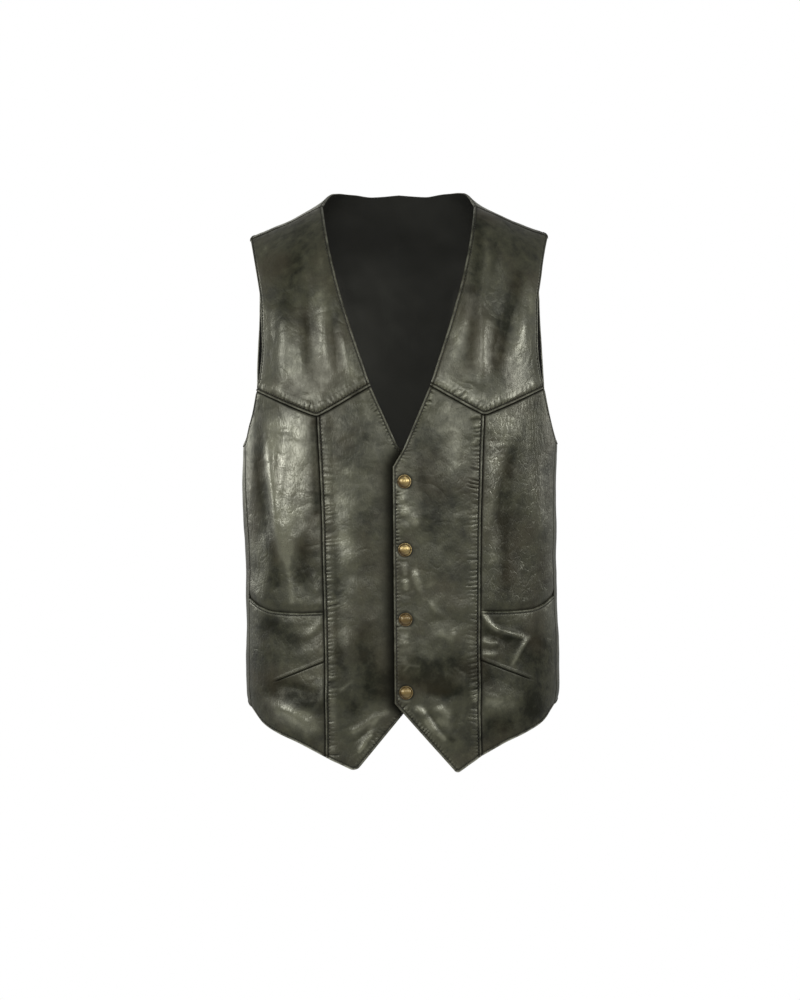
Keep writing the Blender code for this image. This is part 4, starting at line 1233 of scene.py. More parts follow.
def front_panel(name, cut, hand, extra_rise, extra, edges, grain):
    """A front panel from its cut points, mirrored for the right hand."""
    x = cut[..., 0] * hand
    z = cut[..., 1]
    rise = front_rise(x, z) + lap_rise(x, z, hand) + extra_rise
    normals = directions(front_point, x, z, PROBE, PROBE)
    extra["tone"] = dye_tone(FRONT_DYE_AND_SHEEN, FRONT_CREASES, x, z)
    # Painted shadow round each snap
    dirt = SNAP_PAINTED_SHADOW * bell(snap_gap(x, z), SNAP_PAINTED_SHADOW_AT, SNAP_PAINTED_SHADOW_WIDTH)
    extra["shade"] = np.maximum(extra["shade"], dirt)
    return leather_panel(name, front_point(x, z), normals, rise, extra, edges, grain)


def plain(shape):
    """No relief, grime and painted shade, or tone of a panel's own."""
    return {"relief": np.zeros(shape), "shade": np.zeros(shape), "tone": np.zeros(shape)}


def make_yoke(side, hand):
    """Pointed front yoke."""
    reach_centre = YOKE_POINT.across - YOKE_NECK.across
    reach_side = float(side_edge(YOKE_ARMHOLE_Z)) - YOKE_POINT.across
    centre = fine_shares(reach_centre, PUCKER_STEP, end=False)
    beside = fine_shares(reach_side, PUCKER_STEP, start=False)
    bottom = np.concatenate([yoke_seam_centre(centre)[:-1], yoke_seam_side(beside)])
    bottom[:, 1] += SEAM_GAP
    split = reach_centre / (reach_centre + reach_side)
    across = np.concatenate([centre[:-1] * split, split + beside * (1 - split)])
    seam_x = SHOULDER_NECK_X + (SHOULDER_TIP_X - SHOULDER_NECK_X) * across
    top = arch_point(seam_x, np.full(len(across), SHOULDER_SEAM_ANGLE))[:, [0, 2]]
    down = fine_shares(top[0, 1] - YOKE_NECK.height, STEP)
    neck_z = top[0, 1] + (bottom[0, 1] - top[0, 1]) * down
    inner = np.stack([lookup(NECK_EDGE, "height", "across", neck_z), neck_z], axis=-1)
    inner[0] = top[0]
    inner[-1] = bottom[0]
    arm_z = top[-1, 1] + (bottom[-1, 1] - top[-1, 1]) * down
    outer = np.stack([side_edge(arm_z), arm_z], axis=-1)
    outer[0] = top[-1]
    outer[-1] = bottom[-1]
    cut = patch(top, bottom, inner, outer, across, down)
    shape = cut.shape[:2]
    edges = (
        rim_edge(shape, "top", "shoulder"),
        rim_edge(shape, "bottom", "lap", YOKE_GATHER["seam"]),
        rim_edge(shape, "inner", "turned", YOKE_GATHER["neck"]),
        rim_edge(shape, "outer", "turned", YOKE_GATHER["armhole"]),
    )
    return front_panel("front_yoke_" + side, cut, hand, 0.0, plain(shape), edges, YOKE_GRAIN)


def front_edge(hand):
    """Neck edge, front edge and cutaway of a centre panel, from the yoke seam to the hem point."""
    axis = LAP_AXIS_X * hand
    crossing = UPPER_CROSSING if hand > 0 else LOWER_CROSSING
    point = FRONT_POINTS[hand]
    edge_x = axis - LAP_HALF
    return [(YOKE_NECK.across, YOKE_NECK.height - SEAM_GAP), (crossing.across, crossing.height),
            (edge_x, FRONT_TOP_Z), (edge_x, point.foot), (axis + point.reach, point.height)]


def round_corner(cut, corner, first, second, radius):
    """Round a corner of the cut between two straight edges that leave it."""
    frame_of_edges = np.stack([first / np.linalg.norm(first), second / np.linalg.norm(second)], axis=-1)
    inward = (cut - corner) @ np.linalg.inv(frame_of_edges).T
    u, v = np.moveaxis(np.clip(1 - inward / radius, 0, 1), -1, 0)
    shift = np.stack([u - u * np.sqrt(1 - v ** 2 / 2), v - v * np.sqrt(1 - u ** 2 / 2)], axis=-1)
    return cut + radius * shift @ frame_of_edges.T


def make_centre(side, hand):
    """Centre front: V-neck edge, lapped front edge, pointed hem."""
    line = np.array(front_edge(hand))
    seam_length = YOKE_POINT.height - float(pocket_line("hem", 0.0))
    down = fine_shares(seam_length, PUCKER_STEP)
    inner = along_line(line, down)
    top_z = YOKE_POINT.height + float(point_round(YOKE_POINT.across)) - SEAM_GAP
    seam_z = top_z + (pocket_line("hem", 0.0) - top_z) * down
    outer = np.stack([panel_seam(seam_z) - SEAM_GAP / 2, seam_z], axis=-1)
    across = fine_shares(float(panel_seam(FRONT_POINTS[hand].foot)) - LAP_AXIS_X * hand + LAP_HALF, STEP)
    top = yoke_seam_centre(across)
    top[:, 1] -= SEAM_GAP
    outer[0] = top[-1]
    inner[0] = top[0]
    bottom = along_line([inner[-1], outer[-1]], across)
    cut = patch(top, bottom, inner, outer, across, down)
    cut = round_corner(cut, inner[-1], line[-2] - line[-1], outer[-1] - inner[-1], HEM_POINT_ROUND[hand])
    shape = cut.shape[:2]
    extra = plain(shape)
    if hand < 0:
        spots = (cut * (hand, 1)).reshape(-1, 2)
        gap = path_gap(spots, np.array(front_edge(1))[1:])[0].reshape(shape)
        extra["shade"] = LAP_SHADE * bell(gap, 0, LAP_SHADE_WIDTH)
    edges = (
        rim_edge(shape, "top", "under"),
        rim_edge(shape, "outer", "lap", CENTRE_GATHER["seam"]),
        rim_edge(shape, "inner", "turned", CENTRE_GATHER["front"]),
        rim_edge(shape, "bottom", "hem", CENTRE_GATHER["hem"]),
    )
    return front_panel("front_centre_" + side, cut, hand, 0.0, extra, edges, CENTRE_GRAIN)


def side_columns():
    """Column shares of the side panel and the pocket front."""
    return fine_shares(float(side_edge(CHEST_Z)) - YOKE_POINT.across, STEP)


def make_side(side, hand):
    """Side front below the yoke, running on behind the pocket front."""
    share = side_columns()
    top = yoke_seam_side(share)[:, 1] - SEAM_GAP
    mouth = pocket_line("mouth", share)
    foot = mouth - POCKET_TUCK
    down = fine_shares(float(np.mean(top - foot)), STEP, end=False)[:, None]
    z = top + (foot - top) * down
    cut = side_cut(np.broadcast_to(share, z.shape), z)
    sink = -POCKET_SINK * (1 - ease(POCKET_SLOPE_FOOT, POCKET_SLOPE_TOP, z - mouth))
    extra = plain(z.shape)
    extra["shade"] = MOUTH_SHADE * bell(z - mouth, 0.0, MOUTH_SHADE_WIDTH)
    arm_rows = int(np.sum(z[:, -1] > UNDERARM_Z))
    edges = (
        rim_edge(z.shape, "top", "under"),
        rim_edge(z.shape, "inner", "under"),
        rim_edge(z.shape, "outer", "turned", SIDE_GATHER["armhole"], slice(0, arm_rows)),
        rim_edge(z.shape, "outer", "seam", 0.0, slice(arm_rows, None)),
    )
    return front_panel("front_side_" + side, cut, hand, sink, extra, edges, SIDE_GRAIN[hand])


def make_pocket(side, hand):
    """Pocket front: ridged mouth, one slanted dart, hem."""
    share = side_columns()
    mouth = pocket_line("mouth", share)
    dart = pocket_line("dart", share)
    hem = pocket_line("hem", share)
    upper = fine_shares(float(np.mean(mouth - dart)), STEP)[:-1, None]
    lower = fine_shares(float(np.mean(dart - hem)), STEP)[:, None]
    z = np.concatenate([mouth + (dart - mouth) * upper, dart + (hem - dart) * lower])
    cut = side_cut(np.broadcast_to(share, z.shape), z)
    above = z - dart
    held = 1 - ease(*DART_FADE, share)
    extra = plain(z.shape)
    ridge = DART_RIDGE * bell(above, DART_RIDGE_AT, DART_RIDGE_WIDTH)
    groove = bell(above, -DART_GROOVE_WIDTH / 2, DART_GROOVE_WIDTH)
    extra["relief"] = (ridge - DART_GROOVE * groove) * held
    # Painted shade in the dart's groove
    extra["shade"] = groove * held
    edges = (
        rim_edge(z.shape, "top", "turned", POCKET_GATHER["mouth"]),
        rim_edge(z.shape, "inner", "under"),
        rim_edge(z.shape, "outer", "seam"),
        rim_edge(z.shape, "bottom", "hem", POCKET_GATHER["hem"]),
    )
    return front_panel("pocket_front_" + side, cut, hand, 0.0, extra, edges, POCKET_GRAIN)


def even_angles(z, start, end, shares):
    """Angles at shares of the length round a section at one height."""
    dense = np.linspace(start, end, ARC_SAMPLES)
    line = round_point(dense, np.full(ARC_SAMPLES, z))
    length = np.concatenate([[0.0], np.cumsum(np.linalg.norm(np.diff(line, axis=0), axis=1))])
    return np.interp(shares * length[-1], length, dense)


def side_seam_angle(z):
    """Angle of the side seam round the body."""
    half_width = lookup(TORSO, "height", "half_width", z)
    share = (lookup(SIDE_SEAM, "height", "across", z) + SEAM_GAP / 2) / half_width
    return math.degrees(math.asin(float(share) ** (SQUARENESS / 2)))


def back_armhole(angle):
    """Distance of the armhole's back edge from the middle, up the arch."""
    share = (CHEST_BACK_ANGLE - angle) / (CHEST_BACK_ANGLE - SHOULDER_SEAM_ANGLE)
    return lookup(ARMHOLE_BACK, "share", "across", share)


def back_lower_rows(side_shares, middle_shares, row_shares):
    """Angles and heights of the back from the hem to the chest, under the armholes too."""
    angles = []
    heights = []
    full_turn = 2 * CHEST_BACK_ANGLE
    far = full_turn - ARMHOLE_CORNER_ANGLE
    for part in row_shares:
        side_z = BACK_HEM_SIDE_Z + (UNDERARM_Z - BACK_HEM_SIDE_Z) * part
        side = even_angles(side_z, side_seam_angle(side_z), ARMHOLE_CORNER_ANGLE, side_shares)
        middle = even_angles(side_z, ARMHOLE_CORNER_ANGLE, far, middle_shares)
        angle = np.concatenate([side[:-1], middle, full_turn - side[-2::-1]])
        turned_back = CHEST_BACK_ANGLE - np.abs(angle - CHEST_BACK_ANGLE)
        hem = BACK_HEM_SIDE_Z + (BACK_HEM_MIDDLE_Z - BACK_HEM_SIDE_Z) * ease(*BACK_HEM_TURN, turned_back)
        top = lookup(ARMHOLE_UNDER, "angle", "height", turned_back)
        angles.append(angle)
        heights.append(hem + (top - hem) * part)
    return np.array(angles), np.array(heights)


def back_upper_rows(chest_x, shoulder_shares, neck_shares, row_shares):
    """Distances and arch angles of the back from the chest to the base of the neck."""
    edge = back_armhole(NECK_BASE.angle)
    shoulder = edge + (NECK_BASE.across - edge) * shoulder_shares
    neck = NECK_BASE.across * (1 - 2 * neck_shares)
    top_x = np.concatenate([shoulder, neck[1:-1], -shoulder[::-1]])
    near = np.minimum(np.abs(top_x), NECK_BASE.across)
    top_angle = lookup(BACK_NECK, "across", "angle", near)
    part = row_shares[1:, None]
    angle = CHEST_BACK_ANGLE + (top_angle - CHEST_BACK_ANGLE) * part
    edge = back_armhole(angle[:, :1])
    below = chest_x * edge / chest_x[0]
    above = top_x * edge / top_x[0]
    return below + (above - below) * part, angle


def back_shoulder_rows(shoulder_shares, row_shares):
    """Distances and arch angles of one shoulder, from the base of the neck to its seam."""
    seam = SHOULDER_SEAM_ANGLE + SHOULDER_GAP_ANGLE
    angle = NECK_BASE.angle + (seam - NECK_BASE.angle) * row_shares[1:, None]
    neck = lookup(BACK_NECK, "angle", "across", angle)
    edge = back_armhole(angle)
    x = edge + (neck - edge) * shoulder_shares
    return x, np.broadcast_to(angle, x.shape)


def arch_block(x, angle, columns, start):
    """Points and outward directions of rows on the arch, set at a column of a wider grid."""
    end = columns - start - x.shape[1]
    spare = ((0, 0), (start, end), (0, 0))
    normals = directions(arch_point, x, angle, PROBE, PROBE_ANGLE)
    return np.pad(arch_point(x, angle), spare), np.pad(normals, spare)


def back_edges(rows, columns, chest, neck_row, first, neck):
    """Edges of the back: hem, sides, armholes, neck and shoulder seams."""
    j = np.arange(rows)
    i = np.arange(columns)
    depth = WALK_DEPTH
    last = columns - 1 - first
    far_neck = columns - 1 - neck
    low = j[:chest + 1]
    high = j[chest:]
    tip = j[neck_row:]

    def across(row_list, start, step):
        return [(0 * i[:depth] + k, start + step * i[:depth]) for k in row_list]

    def down(column_list, start):
        return [(start - j[:depth], 0 * j[:depth] + k) for k in column_list]

    def side_edge_at(column, step):
        return Edge("seam", (low, 0 * low + column), across(low, column, step), 0.0)

    def armhole(under, column, step):
        spots = (np.concatenate([0 * under + chest, high[1:]]),
                 np.concatenate([under, 0 * high[1:] + column]))
        walks = down(under, chest) + across(high[1:], column, step)
        return Edge("turned", spots, walks, BACK_GATHER["armhole"])

    def shoulder_edge(top):
        return Edge("seam", (0 * top + rows - 1, top), down(top, rows - 1), 0.0)

    hem = Edge("hem", (0 * i, i), [(j[:depth], 0 * j[:depth] + k) for k in i], BACK_GATHER["hem"])
    bowl = i[neck:far_neck + 1]
    neck_spots = (np.concatenate([tip[:0:-1], 0 * bowl + neck_row, tip[1:]]),
                  np.concatenate([0 * tip[1:] + neck, bowl, 0 * tip[1:] + far_neck]))
    neck_walks = across(tip[:0:-1], neck, -1) + down(bowl, neck_row) + across(tip[1:], far_neck, 1)
    return (
        hem,
        side_edge_at(0, 1),
        side_edge_at(columns - 1, -1),
        armhole(i[:first + 1], first, 1),
        armhole(i[last:][::-1], last, -1),
        Edge("turned", neck_spots, neck_walks, BACK_GATHER["neck"]),
        shoulder_edge(i[first:neck + 1]),
        shoulder_edge(i[far_neck:last + 1]),
    )


def make_back():
    """Back from hem to shoulder seams, with the back neck and the backs of the armholes."""
    lines = BACK_EDGE_LINES
    side_shares = fine_shares(BACK_SIDE_RUN, BACK_STEP, end=False, lines=lines)
    shoulder_shares = fine_shares(BACK_SHOULDER_RUN, BACK_STEP, lines=lines)
    neck_shares = fine_shares(BACK_NECK_RUN, BACK_STEP, start=False, end=False)
    thirds = np.concatenate([shoulder_shares, 1 + neck_shares[1:-1], 3 - shoulder_shares[::-1]])
    row_low = fine_shares(BACK_LOW_RUN, BACK_STEP, lines=lines)
    row_high = fine_shares(BACK_HIGH_RUN, BACK_STEP, start=False, lines=lines)
    row_tip = fine_shares(BACK_TIP_RUN, BACK_STEP, start=False, lines=lines)
    angle, height = back_lower_rows(side_shares, thirds / 3, row_low)
    columns = angle.shape[1]
    lower = round_point(angle, height)
    lower_normals = directions(round_point, angle, height, PROBE_ANGLE, PROBE)
    first = len(side_shares) - 1
    last = columns - 1 - first
    chest_x = lower[-1, first:last + 1, 0]
    upper = arch_block(*back_upper_rows(chest_x, shoulder_shares, neck_shares, row_high), columns, first)
    x, turn = back_shoulder_rows(shoulder_shares, row_tip)
    left = arch_block(x, turn, columns, first)
    right = arch_block(-x[:, ::-1], turn, columns, last + 1 - x.shape[1])
    points = np.concatenate([lower, upper[0], left[0] + right[0]])
    normals = np.concatenate([lower_normals, upper[1], left[1] + right[1]])
    rows = points.shape[0]
    chest = len(row_low) - 1
    neck_row = chest + len(row_high) - 1
    neck = first + len(shoulder_shares) - 1
    far_neck = columns - 1 - neck
    kept = np.ones((rows - 1, columns - 1), bool)
    kept[chest:, :first] = False
    kept[chest:, last:] = False
    kept[neck_row:, neck:far_neck] = False
    edges = back_edges(rows, columns, chest, neck_row, first, neck)
    extra = plain((rows, columns))
    extra["tone"] = dye_tone(BACK_DYE_AND_SHEEN, BACK_CREASES, points[..., 0], points[..., 2])
    return leather_panel("back", points, normals, back_rise(points), extra, edges, BACK_GRAIN, kept)


def sew(name, rows, thread):
    """Rows of stitches as one mesh: short threads that dip into the leather at both ends."""
    rings = np.linspace(-1, 1, STITCH_RINGS)
    turns = np.linspace(0, 2 * math.pi, STITCH_SIDES, endpoint=False)
    half = STITCH_HALF * thread.pitch
    radius = thread.thickness / 2
    made = []
    for points, aims, length in rows:
        first = math.ceil(length[0] / thread.pitch) + 0.5
        at = np.arange(first * thread.pitch, length[-1] - half, thread.pitch)
        if not len(at):
            continue

        def along(values, where):
            return np.stack([np.interp(where, length, axis) for axis in values.T], axis=-1)

        up = along(aims, at)
        up = up / np.linalg.norm(up, axis=1, keepdims=True)
        run = along(points, at + half) - along(points, at - half)
        run = run / np.linalg.norm(run, axis=1, keepdims=True)
        side = np.cross(run, up)
        middle = along(points, at)
        lift = radius * (STITCH_RISE - STITCH_DIP * rings ** 2)
        thick = radius * np.sqrt(1 - STITCH_TAPER * rings ** 2)
        line = middle[:, None] + run[:, None] * (half * rings)[None, :, None]
        line = line + up[:, None] * lift[None, :, None]
        ring = side[:, None] * np.cos(turns)[None, :, None] + up[:, None] * np.sin(turns)[None, :, None]
        made.append(line[:, :, None] + ring[:, None] * thick[None, :, None, None])
    verts = np.concatenate(made)
    count, depth, sides = verts.shape[:3]
    number = np.arange(count * depth * sides).reshape(count, depth, sides)
    ahead = np.roll(number, -1, axis=2)
    walls = np.stack([number[:, :-1], ahead[:, :-1], ahead[:, 1:], number[:, 1:]], axis=-1).reshape(-1, 4)
    caps = np.concatenate([number[:, 0, ::-1], number[:, -1]])
    data = bpy.data.meshes.new(name)
    data.from_pydata(verts.reshape(-1, 3).tolist(), [], walls.tolist() + caps.tolist())
    data.materials.append(thread_material())
    data.shade_smooth()
    thing = add_object(name, data)
    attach(thing, "root")
    return thing


def front_frame(x, z, lift):
    """Place and outward direction on the front of the vest, lifted off the form."""
    x = np.array(x)
    z = np.array(z)
    normal = Vector(directions(front_point, x, z, PROBE, PROBE))
    lift = lift + float(fold_rise(FRONT_FOLDS, x, z))
    return Vector(front_point(x, z)) + normal * lift, normal


def turned_piece(node, profile, place, direction, age):
    """A turned brass piece, spun round its own axis and set on the vest."""
    mesh = bmesh.new()
    tarnish = mesh.verts.layers.float.new("shade")
    verts = []
    for row in profile:
        vert = mesh.verts.new((row.radius * MM, 0.0, row.height * MM))
        vert[tarnish] = row.tarnish
        verts.append(vert)
    edges = [mesh.edges.new(pair) for pair in zip(verts, verts[1:])]
    bmesh.ops.spin(mesh, geom=verts + edges, cent=(0, 0, 0), axis=(0, 0, 1),
                   angle=2 * math.pi, steps=SNAP_STEPS, use_merge=True)
    bmesh.ops.remove_doubles(mesh, verts=mesh.verts, dist=MERGE)
    bmesh.ops.recalc_face_normals(mesh, faces=mesh.faces)
    # Tarnish and painted shade darken the lower left of each piece
    for vert in mesh.verts:
        leaning = LOW_TARNISH_AND_SHADE_LEAN[0] * vert.co.x + LOW_TARNISH_AND_SHADE_LEAN[1] * vert.co.y
        low = ease(*LOW_TARNISH_AND_SHADE, leaning)
        vert[tarnish] = max(vert[tarnish], LOW_TARNISH_AND_SHADE_SHARE * float(low), age)
    data = bpy.data.meshes.new(node + "_brass")
    mesh.to_mesh(data)
    mesh.free()
    data.materials.append(brass_material())
    data.shade_smooth()
    data.set_sharp_from_angle(angle=math.radians(SHARP_ANGLE))
    thing = add_object(node + "_brass", data)
    thing.location = place
    thing.rotation_mode = "QUATERNION"
    thing.rotation_quaternion = direction.to_track_quat("Z", "Y")
    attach(thing, "root")
    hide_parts(node)
    return thing


def add_node(tree, kind, values, links=None):
    """Add a node, set its values by name, and join its inputs to other nodes' outputs."""
    made = tree.nodes.new(kind)
    for key, value in values.items():
        if isinstance(key, str) and hasattr(made, key):
            setattr(made, key, value)
        else:
            made.inputs[key].default_value = value
    for key, source in (links or {}).items():
        tree.links.new(source, made.inputs[key])
    return made


def new_material(name):
    """A new material, its node tree and its Principled shader."""
    material = bpy.data.materials.new(name)
    material.use_nodes = True
    tree = material.node_tree
    return material, tree, tree.nodes["Principled BSDF"]


def leather_material():
    """Washed aniline cowhide, waxed and worn.

    The dye is thin, so the colour is uneven; wax gives a soft gloss, and edges go pale with use. Placed tone
    also paints highlight and shade into the colour and the shine.
    """
    name = "washed_aniline_cowhide"
    if name in bpy.data.materials:
        return bpy.data.materials[name]
    look = bpy.context.scene.vest_leather
    material, tree, shader = new_material(name)
    place = add_node(tree, "ShaderNodeTexCoord", {}).outputs["Object"]
    wear = add_node(tree, "ShaderNodeAttribute", {"attribute_name": "wear"}).outputs["Fac"]
    shade = add_node(tree, "ShaderNodeAttribute", {"attribute_name": "shade"}).outputs["Fac"]
    placed = add_node(tree, "ShaderNodeAttribute", {"attribute_name": "tone"}).outputs["Fac"]
    pebbly = add_node(tree, "ShaderNodeAttribute", {"attribute_name": "pebble"}).outputs["Fac"]
    creasy = add_node(tree, "ShaderNodeAttribute", {"attribute_name": "crease"}).outputs["Fac"]

    # Dye blotches of about 45 mm, with clouds of about 10 mm in them, shifted by the placed tone of dye and
    # painted highlight and shade
    blotch = add_node(tree, "ShaderNodeTexNoise", {
        "Scale": 1 / look.blotch_size, "Detail": 5.0, "Roughness": 0.6, "Distortion": 0.7}, {"Vector": place})
    cloud = add_node(tree, "ShaderNodeTexNoise", {
        "Scale": 1 / look.cloud_size, "Detail": 4.0, "Roughness": 0.65}, {"Vector": place})
    both = add_node(tree, "ShaderNodeMix", {"data_type": "FLOAT", 0: CLOUD_SHARE}, {
        2: blotch.outputs["Fac"], 3: cloud.outputs["Fac"]})
    shifted = add_node(tree, "ShaderNodeMath", {"operation": "MULTIPLY_ADD", 1: DYE_AND_PAINTED_LIGHT_SHIFT}, {
        0: placed, 2: both.outputs[0]})
    tone = add_node(tree, "ShaderNodeValToRGB", {}, {"Fac": shifted.outputs[0]})
    stops = tone.color_ramp.elements
    stops[0].position = DYE_STOPS[0]
    stops[0].color = (*look.deep, 1)
    stops[1].position = DYE_STOPS[1]
    stops[1].color = (*look.washed, 1)
    stops.new(DYE_STOPS[2]).color = (*look.faded, 1)
    rust = add_node(tree, "ShaderNodeTexNoise", {
        "noise_dimensions": "4D", "W": 3.0, "Scale": 1 / look.blotch_size, "Detail": 3.0}, {"Vector": place})
    rust_share = add_node(tree, "ShaderNodeMapRange", {
        "From Min": 0.46, "From Max": 0.66, "To Max": 0.5}, {"Value": rust.outputs["Fac"]})
    browned = add_node(tree, "ShaderNodeMix", {"data_type": "RGBA", 7: (*look.brown, 1)}, {
        0: rust_share.outputs["Result"], 6: tone.outputs["Color"]})

    # Rubbed edges are pale, and the hem has a painted highlight; seams and stitch holes hold dirt, and the
    # same dark mask paints shade in seam gaps, stitch grooves, pucker valleys, the dart, under the pocket
    # mouth, beside the lap and round the snaps
    patchy = add_node(tree, "ShaderNodeMapRange", {
        "From Min": 0.38, "From Max": 0.62, "To Min": 0.05, "To Max": 0.7}, {"Value": cloud.outputs["Fac"]})
    rub_and_highlight = add_node(tree, "ShaderNodeMath", {"operation": "MULTIPLY"}, {0: wear, 1: patchy.outputs["Result"]})
    rubbed = add_node(tree, "ShaderNodeMix", {"data_type": "RGBA", 7: (*look.rubbed, 1)}, {
        0: rub_and_highlight.outputs[0], 6: browned.outputs[2]})
    dirty_and_shaded = add_node(tree, "ShaderNodeMix", {"data_type": "RGBA", 7: (*look.dirt, 1)}, {
        0: shade, 6: rubbed.outputs[2]})
    tree.links.new(dirty_and_shaded.outputs[2], shader.inputs["Base Color"])

    # Wax lies unevenly, places of high tone are polished and painted with more sheen and low tone with less,
    # and dirt and painted shade have no wax
    waxed = add_node(tree, "ShaderNodeMapRange", {
        "From Min": 0.3, "From Max": 0.7, "To Min": look.gloss + WAX_SWING[0],
        "To Max": look.gloss + WAX_SWING[1]},
        {"Value": cloud.outputs["Fac"]})
    polished = add_node(tree, "ShaderNodeMath", {"operation": "MULTIPLY_ADD", 1: POLISH}, {
        0: placed, 2: waxed.outputs["Result"]})
    rough = add_node(tree, "ShaderNodeMix", {"data_type": "FLOAT", 3: DIRT_AND_SHADE_ROUGHNESS}, {
        0: shade, 2: polished.outputs[0]})
    tree.links.new(rough.outputs[0], shader.inputs["Roughness"])
    uneven = add_node(tree, "ShaderNodeMath", {
        "operation": "MULTIPLY_ADD", 1: SHEEN_SWING, 2: SHEEN_BASE}, {0: both.outputs[0]})
    sheen = add_node(tree, "ShaderNodeMath", {
        "operation": "MULTIPLY_ADD", "use_clamp": True, 1: SHEEN_SHIFT}, {0: placed, 2: uneven.outputs[0]})
    dulled = add_node(tree, "ShaderNodeMix", {"data_type": "FLOAT", 3: DIRT_AND_SHADE_SHEEN}, {
        0: shade, 2: sheen.outputs[0]})
    tree.links.new(dulled.outputs[0], shader.inputs["Specular IOR Level"])

    # Soft wrinkles about 22 mm apart, with narrow valleys
    wave = add_node(tree, "ShaderNodeTexNoise", {
        "Scale": 1 / look.wrinkle_size, "Detail": 1.0, "Distortion": 0.5}, {"Vector": place})
    offset = add_node(tree, "ShaderNodeMath", {"operation": "SUBTRACT", 1: 0.5}, {0: wave.outputs["Fac"]})
    valley = add_node(tree, "ShaderNodeMath", {"operation": "ABSOLUTE"}, {0: offset.outputs[0]})
    wrinkled = add_node(tree, "ShaderNodeBump", {"Strength": 1.0, "Distance": 0.0012}, {
        "Height": valley.outputs[0]})

    # Pores and pebbles of about 1 mm, drawn at about 2.4 mm so that they show in the render
    pebble = add_node(tree, "ShaderNodeTexVoronoi", {
        "feature": "SMOOTH_F1", "Scale": 1 / look.grain_size, "Smoothness": 0.6}, {"Vector": place})
    pebble_height = add_node(tree, "ShaderNodeMath", {"operation": "MULTIPLY"}, {
        0: pebble.outputs["Distance"], 1: pebbly})
    grain = add_node(tree, "ShaderNodeBump", {"Strength": 0.4, "Distance": 0.0005, "invert": True}, {
        "Height": pebble_height.outputs[0], "Normal": wrinkled.outputs["Normal"]})

    # Fine slanting creases, in cells of about 4 by 11 mm pulled out of shape
    pull = add_node(tree, "ShaderNodeTexNoise", {"Scale": 1 / PULL_SIZE, "Detail": 2.0}, {"Vector": place})
    pulled = add_node(tree, "ShaderNodeVectorMath", {"operation": "MULTIPLY_ADD", 1: (PULL_REACH,) * 3}, {
        0: pull.outputs["Color"], 2: place})
    slanted = add_node(tree, "ShaderNodeMapping", {
        "Rotation": (0.0, math.radians(look.crease_slant), 0.0), "Scale": (1.0, 1.0, look.crease_stretch)},
        {"Vector": pulled.outputs[0]})
    crack = add_node(tree, "ShaderNodeTexVoronoi", {
        "feature": "DISTANCE_TO_EDGE", "Scale": 1 / look.crease_size}, {"Vector": slanted.outputs[0]})
    line = add_node(tree, "ShaderNodeMapRange", {"From Max": 0.14}, {"Value": crack.outputs["Distance"]})
    line_height = add_node(tree, "ShaderNodeMath", {"operation": "MULTIPLY"}, {
        0: line.outputs["Result"], 1: creasy})
    creased = add_node(tree, "ShaderNodeBump", {"Strength": 0.4, "Distance": 0.0005}, {
        "Height": line_height.outputs[0], "Normal": grain.outputs["Normal"]})
    tree.links.new(creased.outputs["Normal"], shader.inputs["Normal"])
    shader.inputs["IOR"].default_value = 1.5
    return material


def lining_material():
    """Black polyester twill lining, woven: dull, with faint slanting ribs."""
    name = "woven_polyester_twill"
    if name in bpy.data.materials:
        return bpy.data.materials[name]
    look = bpy.context.scene.vest_leather
    material, tree, shader = new_material(name)
    place = add_node(tree, "ShaderNodeTexCoord", {}).outputs["Object"]

    # Twill ribs of about 0.6 mm, drawn as soft bands of about 15 mm so that they show in the render
    rib = add_node(tree, "ShaderNodeTexWave", {
        "wave_type": "BANDS", "bands_direction": "DIAGONAL", "Scale": RIB_SCALE, "Distortion": 0.4},
        {"Vector": place})
    tone = add_node(tree, "ShaderNodeMix", {
        "data_type": "RGBA", 6: (*look.lining, 1), 7: (*(RIB_DARK * c for c in look.lining), 1)}, {
        0: rib.outputs["Fac"]})
    tree.links.new(tone.outputs[2], shader.inputs["Base Color"])
    bump = add_node(tree, "ShaderNodeBump", {"Strength": 0.2, "Distance": 0.0003}, {
        "Height": rib.outputs["Fac"]})
    tree.links.new(bump.outputs["Normal"], shader.inputs["Normal"])
    shader.inputs["Roughness"].default_value = 0.6
    return material


def thread_material():
    """Waxed bonded nylon thread, twisted: black, with a dull shine and paler lint."""
    name = "waxed_nylon_thread"
    if name in bpy.data.materials:
        return bpy.data.materials[name]
    thread = bpy.context.scene.vest_thread
    material, tree, shader = new_material(name)
    place = add_node(tree, "ShaderNodeTexCoord", {}).outputs["Object"]

    # Lint and wax specks of about 2 mm
    lint = add_node(tree, "ShaderNodeTexNoise", {"Scale": 1 / LINT_SIZE, "Detail": 2.0}, {"Vector": place})
    tone = add_node(tree, "ShaderNodeMix", {
        "data_type": "RGBA", 6: (*thread.colour, 1), 7: (*(LINT_PALE * c for c in thread.colour), 1)}, {
        0: lint.outputs["Fac"]})
    tree.links.new(tone.outputs[2], shader.inputs["Base Color"])
    shader.inputs["Roughness"].default_value = 0.5
    return material


